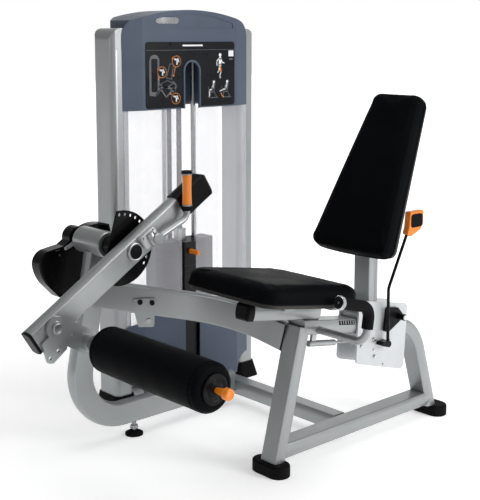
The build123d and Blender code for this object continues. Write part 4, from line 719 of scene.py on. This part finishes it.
def roller_cushion():
    """The foam roller in its sewn cover: a slight barrel, a seam near each end, the cover gathered by the
    seams.
    """
    rows = 150
    sides = 144
    turn_in, hole = 0.024, 0.053
    profile = [(0.0015, hole + (PAD_R - turn_in - hole) * k / 8) for k in range(9)]
    profile += [(turn_in + turn_in * math.cos(math.radians(180 - 90 * k / 10)),
                 PAD_R - turn_in + turn_in * math.sin(math.radians(180 - 90 * k / 10))) for k in range(1, 11)]
    straight = [(turn_in + (PAD_LONG - 2 * turn_in) * k / rows, PAD_R) for k in range(1, rows)]
    full = profile + straight + [(PAD_LONG - a, r) for a, r in reversed(profile)]
    verts, faces = [], []
    for along, radius in full:
        share = abs(2 * along / PAD_LONG - 1)
        radius -= 0.0016 * share ** 3
        seam = min(abs(along - SEAM_IN), abs(PAD_LONG - along - SEAM_IN))
        radius -= 0.0026 * math.exp(-(seam / 0.0030) ** 2)
        for i in range(sides):
            turn = 2 * math.pi * i / sides
            gather = (0.0007 * math.exp(-(max(0.0, seam - 0.002) / 0.014))
                      * math.sin(turn * 37 + 2 * math.sin(turn * 5)))
            slack = 0.0005 * math.sin(turn * 3 + along * 21) * math.sin(along * 34 + 1.3)
            on_side = turn_in * 0.8 < along < PAD_LONG - turn_in * 0.8
            r = radius + (gather + slack if on_side else 0.0)
            verts.append((ROLLER.x + r * math.cos(turn), pad_lo.y + along, ROLLER.z + r * math.sin(turn)))
    for row in range(len(full) - 1):
        a = row * sides
        faces += [(a + i, a + (i + 1) % sides, a + sides + (i + 1) % sides, a + sides + i)
                  for i in range(sides)]
    a = (len(full) - 1) * sides
    faces += [(a + i, a + (i + 1) % sides, (i + 1) % sides, i) for i in range(sides)]
    obj = piece("roller_cushion", verts, faces, MATERIAL["black_vinyl"], BODY["roller_pad"])
    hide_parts("roller_pad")
    return obj


roller = roller_cushion()
for side, name in ((SEAM_IN, "roller_near_seam"), (PAD_LONG - SEAM_IN, "roller_far_seam")):
    ring = [(ROLLER.x + (PAD_R - 0.0028) * math.cos(2 * math.pi * i / 96), pad_lo.y + side,
             ROLLER.z + (PAD_R - 0.0028) * math.sin(2 * math.pi * i / 96)) for i in range(96)]
    cord_tube(name, ring, 0.0018, MATERIAL["black_vinyl"], BODY["roller_pad"], closed=True, sides=8)
sleeve_lo, sleeve_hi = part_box("roller_sleeve")
for name, y, way in (("roller_near_disc", sleeve_lo.y, -1), ("roller_far_disc", sleeve_hi.y, 1)):
    turned(name, [(-0.001, 0.0519), (0.0006, 0.0512), (0.0012, 0.0500), (0.0012, 0.0385), (0.0002, 0.0375),
                  (0.0002, 0.0290), (0.0024, 0.0280), (0.0032, 0.0262), (0.0032, 0.0212), (0.0002, 0.0205),
                  (0.0002, 0.0184), (-0.001, 0.0184)],
           (ROLLER.x, y, ROLLER.z), (0, way, 0), MATERIAL["black_plastic"], BODY["roller_sleeve"])
axle_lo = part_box("roller_axle")[0]
turned("roller_near_boss", [(-0.0085, 0.0270), (-0.0040, 0.0266), (-0.0006, 0.0240), (0.0004, 0.0215),
                            (0.0004, 0.0084), (0.0, 0.0080)],
       (ROLLER.x, axle_lo.y, ROLLER.z), NEAR, MATERIAL["black_plastic"], BODY["roller_sleeve"])
knob_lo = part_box("roller_knob")[0]
turned("roller_knob_face",
       [(0.0, 0.0150), (0.0006, 0.0146), (0.0008, 0.0138), (0.0003, 0.0130), (0.0002, 0.0)],
       (ROLLER.x, knob_lo.y, ROLLER.z), NEAR, MATERIAL["orange_plastic"], BODY["roller_knob"])

# ---- Movement arm and start-position lever -------------------------------------------------------
arm_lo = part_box("arm_tube")[0]
cap_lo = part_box("pivot_cap")[0]
turned("pivot_ring", [(0.0, 0.0372), (0.004, 0.0372), (0.0080, 0.0362), (0.0098, 0.0345), (0.0104, 0.0318),
                      (0.0100, 0.0290), (0.0088, 0.0272), (0.006, 0.0268)],
       (PIVOT.x, arm_lo.y, PIVOT.z), NEAR, MATERIAL["steel"], BODY["pivot_cap"])
turned("pivot_cap_dome", [(0.0, 0.0268), (0.0007, 0.0262), (0.0010, 0.0250), (0.0004, 0.0236),
                          (0.0010, 0.0190), (0.0018, 0.0100), (0.0020, 0.0)],
       (PIVOT.x, cap_lo.y, PIVOT.z), NEAR, MATERIAL["black_plastic"], BODY["pivot_cap"])
turned("link_pin_cap", [(0.0, 0.0205), (0.0012, 0.0200), (0.0020, 0.0186), (0.0012, 0.0160), (0.0009, 0.0)],
       (LINK.x, arm_lo.y - 0.021, LINK.z), NEAR, MATERIAL["steel"], BODY["roller_link"])
hex_bolt("link_bolt", LINK + Vector((0.064, arm_lo.y - 0.014 - LINK.y, -0.036)), NEAR, 0.010, 0.005,
         MATERIAL["steel"], BODY["roller_link"])
grip_lo, grip_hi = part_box("start_lever_grip")
grip_mid = (grip_lo + grip_hi) / 2
GRIP_LONG = grip_hi.z - grip_lo.z
waist = [(0.0, 0.0126), (0.0, 0.0172), (0.0016, 0.0186), (0.0040, 0.0192)]
waist += [(0.006 + (GRIP_LONG - 0.012) * k / 20,
           0.0192 - 0.0012 * math.sin(math.pi * k / 20) - 0.0005 * (k % 2)) for k in range(21)]
waist += [(GRIP_LONG - 0.0040, 0.0192), (GRIP_LONG - 0.0016, 0.0186), (GRIP_LONG, 0.0172),
          (GRIP_LONG, 0.0126)]
grip = turned("start_grip", waist, (grip_mid.x, grip_mid.y, grip_lo.z), UP, MATERIAL["orange_plastic"],
              BODY["start_lever_grip"])
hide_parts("start_lever_grip")
for name, z, long in (("start_collar_low", grip_lo.z - 0.024, 0.023),
                      ("start_collar_top", grip_hi.z + 0.0005, 0.016)):
    knurled(name, (grip_mid.x, grip_mid.y, z), UP, 0.0212, long, 28, MATERIAL["black_plastic"],
            BODY["start_lever"])
CLAMP = on_arm(0.075, 0.010, arm_lo.y)
prism("start_pin_bracket", [pill(0.0, 0.0, 0.078, 0.058, 0.010)], CLAMP, ARM_X, ARM_N, 0.024,
      MATERIAL["carriage_silver"], BODY["arm_tube"], bevel=0.003)
turned("start_pin_barrel", [(0.0, 0.0), (0.0, 0.0150), (0.002, 0.0165), (0.052, 0.0165), (0.054, 0.0150),
                            (0.054, 0.0)],
       CLAMP + ARM_X * 0.004 - ARM_N * 0.030 + NEAR * 0.026, ARM_N, MATERIAL["steel"], BODY["arm_tube"])
for k, along in enumerate((-0.026, 0.026)):
    hex_bolt(f"start_pin_bolt_{k + 1}", CLAMP + ARM_X * along + ARM_N * 0.017 + NEAR * 0.0235, NEAR, 0.012,
             0.007, MATERIAL["chrome"], BODY["arm_tube"])

# ---- Cam -----------------------------------------------------------------------------------------
cam_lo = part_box("main_cam")[0]


def teardrop(ax, ay, ar, bx, by, br, sides=12):
    """Outline around two circles of different size."""
    angle = math.atan2(by - ay, bx - ax)
    open_by = math.acos((ar - br) / math.hypot(bx - ax, by - ay))
    long_way = 2 * math.pi - 2 * open_by
    first = [(ax + ar * math.cos(angle + open_by + long_way * k / sides),
              ay + ar * math.sin(angle + open_by + long_way * k / sides)) for k in range(sides + 1)]
    second = [(bx + br * math.cos(angle - open_by + 2 * open_by * k / sides),
               by + br * math.sin(angle - open_by + 2 * open_by * k / sides)) for k in range(sides + 1)]
    return first + second


CAM_AT = Vector((PIVOT.x, cam_lo.y, PIVOT.z))
prism("belt_clamp", [teardrop(-0.004, -0.010, 0.011, -0.066, -0.036, 0.006)], CAM_AT, (1, 0, 0), UP, 0.005,
      MATERIAL["carriage_silver"], BODY["main_cam"], bevel=0.0015)
for k, (x, z) in enumerate(((-0.010, -0.012), (-0.062, -0.034))):
    hex_bolt(f"belt_clamp_bolt_{k + 1}", CAM_AT + Vector((x, -0.005, z)), NEAR, 0.008, 0.004,
             MATERIAL["steel"], BODY["main_cam"])

# ---- Stop bracket: black end discs on the two upper bolts ----------------------------------------
bolts = NODES["stop_bolts"].data
bolts.materials.append(MATERIAL["black_plastic"])
low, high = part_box("stop_bolts")
for face in bolts.polygons:
    if face.center.z > low.z + 0.45 * (high.z - low.z):
        face.material_index = 1

# ---- Seat side: caps, carriage bolts, scale, lever paddle ----------------------------------------
SEAT_LINE, HANDLE_OUT = -1.055, 0.279     # middle of the seat from the tower's back, and handles from it
for name, y_mid in (("near", SEAT_LINE - HANDLE_OUT), ("far", SEAT_LINE + HANDLE_OUT)):
    ahead = -(RAIL_X * 0.164 - RAIL_N * 0.017).normalized()
    knurled(f"{name}_handle_cap", on_rail(-0.0880, 0.1420, y_mid) + ahead * 0.0002, ahead, 0.0272, 0.0150, 30,
            MATERIAL["chrome"], BODY["side_handles"])
PLATE_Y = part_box("carriage_plates")[0].y - TOWER_HI.y
# Along the rail, above it, and the width across the head's flats.
CARRIAGE_BOLTS = ((0.404, -0.054, 0.016), (0.411, -0.098, 0.010), (0.421, -0.126, 0.015),
                  (0.483, -0.161, 0.009), (0.506, -0.063, 0.014), (0.330, 0.075, 0.014),
                  (0.330, -0.080, 0.014))
for k, (along, above, size) in enumerate(CARRIAGE_BOLTS):
    hex_bolt(f"carriage_bolt_{k + 1}", on_rail(along, above, PLATE_Y), NEAR, size, size * 0.5,
             MATERIAL["chrome"], BODY["carriage_plates"])
latch_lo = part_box("latch_block")[0]
turned("latch_pin_tip", [(0.0, 0.0100), (0.003, 0.0096), (0.0045, 0.0080), (0.0050, 0.0)],
       on_rail(0.528, 0.042, latch_lo.y - TOWER_HI.y), NEAR, WHITE_PRINT, BODY["latch_block"])
paddle_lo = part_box("release_paddle")[0]
prism("paddle_pad", [pill(0.804, 0.905, 0.074, 0.056, 0.014)],
      at(0, paddle_lo.y - TOWER_HI.y + 0.0005, 0), (1, 0, 0), UP, 0.0030,
      MATERIAL["rubber_black"], BODY["release_paddle"], bevel=0.0012)
bow = math.radians(14.6)
scale_up = (RAIL_N * math.cos(bow) + Vector((0, 1, 0)) * math.sin(bow)).normalized()
ticks = [pill(0.010 + 0.0145 * k, 0.0035, 0.0018, 0.0070 if k % 2 else 0.0100, 0.0006, 2) for k in range(6)]
ticks += [pill(0.010 + 0.0145 * k, -0.0040, 0.0042, 0.0016, 0.0006, 2) for k in range(6)]
prism("scale_marks", ticks, on_rail(0.190, 0.0155, SEAT_LINE - 0.0443), RAIL_X, scale_up, 0.0003, WHITE_PRINT,
      BODY["rail_scale"])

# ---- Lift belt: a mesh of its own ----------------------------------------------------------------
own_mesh(NODES["lift_belt"])

# ---- Levelling foot ------------------------------------------------------------------------------
foot_lo, foot_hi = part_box("levelling_foot")
foot_mid = (foot_lo + foot_hi) / 2
thread = [(0.020, 0.0)]
thread += [(0.020 + 0.002 * k, 0.0096 if k % 2 else 0.0088) for k in range(int((foot_hi.z - 0.020) / 0.002))]
thread += [(foot_hi.z - 0.0005, 0.0)]
turned("levelling_thread", thread, (foot_mid.x, foot_mid.y, 0), UP, MATERIAL["steel"], BODY["levelling_foot"])
hex_bolt("levelling_nut", (foot_mid.x, foot_mid.y, 0.030), UP, 0.030, 0.012, MATERIAL["steel"],
         BODY["levelling_foot"], washer=1.2)

# ---- Hood badge and placard drawings -------------------------------------------------------------
hood_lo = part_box("front_hood")[0]
prism("blank_badge", [pill(0.278, 1.727, 0.128, 0.028, 0.0138)],
      at(0, hood_lo.y - TOWER_HI.y + 0.0032, 0), (1, 0, 0), UP, 0.0030, MATERIAL["chrome"],
      BODY["front_hood"], bevel=0.0012)
card_lo, card_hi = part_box("instruction_placard")
CARD_W, CARD_H = card_hi.x - card_lo.x, card_hi.z - card_lo.z


def uv(*points):
    """Points given as shares of the placard's width and height."""
    return [(u * CARD_W, v * CARD_H) for u, v in points]


def blob(u, v, r, sides=28):
    return circle(u * CARD_W, v * CARD_H, r, sides)


def printed(name, loops, mat, level):
    return prism(name, loops, (card_lo.x, card_lo.y - 0.0002 * level, card_lo.z), (1, 0, 0), UP, 0.0003, mat,
                 BODY["instruction_placard"])


def seated(shift, raised):
    """A seated person on a small machine, as line drawings: person, machine and the moved shin."""
    def q(*points):
        return uv(*[(u + shift, v) for u, v in points])

    knee = (0.699, 0.245)
    ankle = (0.672, 0.225) if raised else (0.701, 0.150)
    person = [blob(0.752 + shift, 0.372, 0.0062)]
    person += stroke(q((0.747, 0.335), (0.733, 0.262)), 0.0088)
    person += stroke(q((0.748, 0.325), (0.728, 0.300), (0.741, 0.268)), 0.0032)
    person += stroke(q((0.731, 0.255), knee), 0.0066)
    person += stroke(q(knee, ankle), 0.0054)
    machine = stroke(q((0.768, 0.390), (0.752, 0.225)), 0.0050)
    machine += stroke(q((0.705, 0.218), (0.762, 0.212)), 0.0050)
    machine += stroke(q((0.716, 0.215), (0.700, 0.128)), 0.0032)
    machine += stroke(q((0.758, 0.210), (0.788, 0.128)), 0.0032)
    machine += stroke(q((0.690, 0.126), (0.802, 0.126)), 0.0034)
    machine += stroke(q((0.688, 0.300), (0.706, 0.190), (0.694, 0.150)), 0.0030)
    machine.append(blob(ankle[0] + shift - 0.006, ankle[1], 0.0052))
    return person, machine


white = [pill(0.51 * CARD_W, 0.945 * CARD_H, 0.118, 0.0072, 0.0035)]
grey = [pill(0.5 * CARD_W, 0.876 * CARD_H, CARD_W - 0.004, 0.0016, 0.0007, 2)]
orange, black = [], []
for shift, raised in ((0.0, False), (0.158, True)):
    person, machine = seated(shift, raised)
    white += person
    grey += machine
orange += stroke(uv((0.838, 0.190), (0.846, 0.155), (0.868, 0.130)), 0.0042)
white += [blob(0.8265, 0.795, 0.0078)]
white += stroke(uv((0.827, 0.745), (0.824, 0.630)), 0.0150)
white += stroke(uv((0.812, 0.740), (0.787, 0.690), (0.790, 0.630)), 0.0050)
white += stroke(uv((0.838, 0.740), (0.850, 0.672), (0.874, 0.668)), 0.0048)
white += stroke(uv((0.836, 0.520), (0.823, 0.470), (0.829, 0.432)), 0.0062)
white += stroke(uv((0.818, 0.610), (0.812, 0.545), (0.799, 0.520)), 0.0058)
orange += stroke(uv((0.826, 0.605), (0.836, 0.528)), 0.0092)
white.append(pill(0.956 * CARD_W, 0.815 * CARD_H, 0.030, 0.027, 0.002))
black.append(pill(0.956 * CARD_W, 0.815 * CARD_H, 0.020, 0.017, 0.002))
grey.append(pill(0.956 * CARD_W, 0.725 * CARD_H, 0.022, 0.008, 0.002))
grey += [uv((0.036, 0.200), (0.036, 0.715), (0.050, 0.785), (0.085, 0.812), (0.120, 0.800), (0.143, 0.745),
            (0.143, 0.260), (0.100, 0.185))]
grey += stroke(uv((0.110, 0.205), (0.180, 0.335), (0.315, 0.270)), 0.0085)
grey += stroke(uv((0.140, 0.330), (0.215, 0.165), (0.300, 0.300)), 0.0070)
grey += stroke(uv((0.290, 0.400), (0.330, 0.330), (0.285, 0.235)), 0.0075)
grey += [uv((0.140, 0.360), (0.225, 0.425), (0.300, 0.375), (0.220, 0.295))]
grey += [uv((0.213, 0.455), (0.255, 0.675), (0.300, 0.670), (0.278, 0.430))]
black += [uv((0.155, 0.362), (0.225, 0.415), (0.285, 0.372), (0.218, 0.318))]
black += [uv((0.222, 0.462), (0.260, 0.662), (0.292, 0.660), (0.270, 0.442))]
black += [pill(0.090 * CARD_W, 0.50 * CARD_H, 0.034, 0.145, 0.006)]
# Round callouts: centre, the end of the pointer line, and the dot on the ring.
CALLOUTS = (((0.330, 0.705), (0.295, 0.490), (0.292, 0.745)),
            ((0.172, 0.545), (0.132, 0.440), (0.132, 0.580)),
            ((0.320, 0.140), (0.262, 0.215), (0.282, 0.150)))
for (u, v), end, dot in CALLOUTS:
    orange.append(blob(u, v, 0.0250, 40))
    orange.append(blob(*dot, 0.0066))
    orange.append(blob(*end, 0.0036))
    orange += stroke(uv((u, v), end), 0.0020)
rings = [blob(u, v, 0.0232, 40) for (u, v), end, dot in CALLOUTS]
icons = []
for (u, v), end, dot in CALLOUTS:
    icons += stroke([(u * CARD_W - 0.011, v * CARD_H + 0.010), (u * CARD_W + 0.004, v * CARD_H + 0.006),
                     (u * CARD_W + 0.002, v * CARD_H - 0.012)], 0.0078)
    icons += stroke([(u * CARD_W + 0.006, v * CARD_H + 0.013), (u * CARD_W + 0.013, v * CARD_H - 0.002)],
                    0.0050)
printed("placard_grey", grey, GREY_PRINT, 0)
printed("placard_orange", orange, ORANGE_PRINT, 1)
printed("placard_black", black + rings, MATERIAL["placard_black"], 2)
printed("placard_white", white + icons, WHITE_PRINT, 3)


# ---- Floor, light, camera ------------------------------------------------------------------------
lo, hi = cad_bounds
YAW, PITCH = math.radians(42.423), math.radians(7.5752)
VIEW = (math.sin(YAW), math.cos(YAW), 0.0)     # the way the camera looks, level


def studio_floor():
    """A pale floor that glows, which is painted light, and brightens into the white backdrop away from the
    machine.
    """
    n = Nodes("studio_floor")
    grain = n.noise(90.0, 3.0)
    base = n.mix(n.ramp(grain, 0.3, 0.7), (0.91, 0.91, 0.915), (0.93, 0.93, 0.93))
    away = n.tree.nodes.new("ShaderNodeVectorMath")
    away.operation = "DOT_PRODUCT"
    away.inputs[1].default_value = VIEW
    n.link(n.coord, away.inputs[0])
    # Painted light: the floor glows white, at strength 0.40 near the machine rising to 0.95 further along the
    # view.
    n.shader.inputs["Emission Color"].default_value = (1.0, 1.0, 1.0, 1.0)
    n.link(n.ramp(away.outputs["Value"], 0.6, 3.4, 0.40, 0.95), n.shader.inputs["Emission Strength"])
    return n.finish(base, n.ramp(grain, 0.3, 0.7, 0.78, 0.86), Specular_IOR_Level=0.1)


floor_mesh = bpy.data.meshes.new("floor")
FLOOR = 30.0
floor_mesh.from_pydata([(-FLOOR, -FLOOR, 0), (FLOOR, -FLOOR, 0), (FLOOR, FLOOR, 0), (-FLOOR, FLOOR, 0)], [],
                       [(0, 1, 2, 3)])
floor = bpy.data.objects.new("floor", floor_mesh)
bpy.context.scene.collection.objects.link(floor)
floor_mesh.materials.append(studio_floor())

world = bpy.data.worlds.new("studio")
bpy.context.scene.world = world
world.use_nodes = True
sky = world.node_tree
background = sky.nodes["Background"]
background.inputs["Strength"].default_value = 1.0
direction = sky.nodes.new("ShaderNodeTexCoord").outputs["Generated"]
parts = sky.nodes.new("ShaderNodeSeparateXYZ")
sky.links.new(direction, parts.inputs[0])


def sky_ramp(value, low, high, out_low, out_high):
    node = sky.nodes.new("ShaderNodeMapRange")
    for key, number in (("From Min", low), ("From Max", high), ("To Min", out_low), ("To Max", out_high)):
        node.inputs[key].default_value = number
    sky.links.new(value, node.inputs["Value"])
    return node.outputs["Result"]


def sky_math(how, a, b):
    node = sky.nodes.new("ShaderNodeMath")
    node.operation = how
    sky.links.new(a, node.inputs[0])
    sky.links.new(b, node.inputs[1])
    return node.outputs[0]


# The backdrop is white, the ceiling bright, the room grey in front and darkest on the left.
facing = sky.nodes.new("ShaderNodeVectorMath")
facing.operation = "DOT_PRODUCT"
facing.inputs[1].default_value = VIEW
sky.links.new(direction, facing.inputs[0])
behind = sky_ramp(facing.outputs["Value"], 0.78, 0.93, 0.0, 1.0)
above = sky_ramp(parts.outputs["Z"], 0.35, 0.95, 0.0, 0.60)
right = sky_ramp(parts.outputs["X"], -0.9, 0.9, 0.16, 0.40)
level = sky_math("MAXIMUM", sky_math("MAXIMUM", behind, above), right)
sky.links.new(level, background.inputs["Color"])


def softbox(name, place, aim, width, height, power):
    light = bpy.data.lights.new(name, "AREA")
    light.shape = "RECTANGLE"
    light.size, light.size_y = width, height
    light.energy = power
    obj = bpy.data.objects.new(name, light)
    bpy.context.scene.collection.objects.link(obj)
    obj.location = place
    obj.rotation_mode = "QUATERNION"
    obj.rotation_quaternion = (Vector(aim) - Vector(place)).to_track_quat("-Z", "Y")
    return obj


middle = (lo + hi) / 2
softbox("key_light", (1.7, -4.2, 2.2), middle, 1.8, 2.2, 118)
softbox("rim_light", (-3.6, 1.6, 2.6), middle, 0.8, 2.4, 10)
softbox("top_light", (0.2, -0.4, 4.6), middle, 2.6, 2.6, 46)

camera_data = bpy.data.cameras.new("camera")
camera = bpy.data.objects.new("camera", camera_data)
bpy.context.scene.collection.objects.link(camera)
bpy.context.scene.camera = camera
camera_data.lens = 74.883
camera_data.sensor_width = 36.0
camera_data.shift_y = -0.15
camera.location = at(-2.5906, -3.7822, 1.6568)
heading = Vector((math.sin(YAW) * math.cos(PITCH), math.cos(YAW) * math.cos(PITCH), -math.sin(PITCH)))
camera.rotation_mode = "QUATERNION"
camera.rotation_quaternion = heading.to_track_quat("-Z", "Y")
bpy.context.scene.view_settings.view_transform = "Standard"
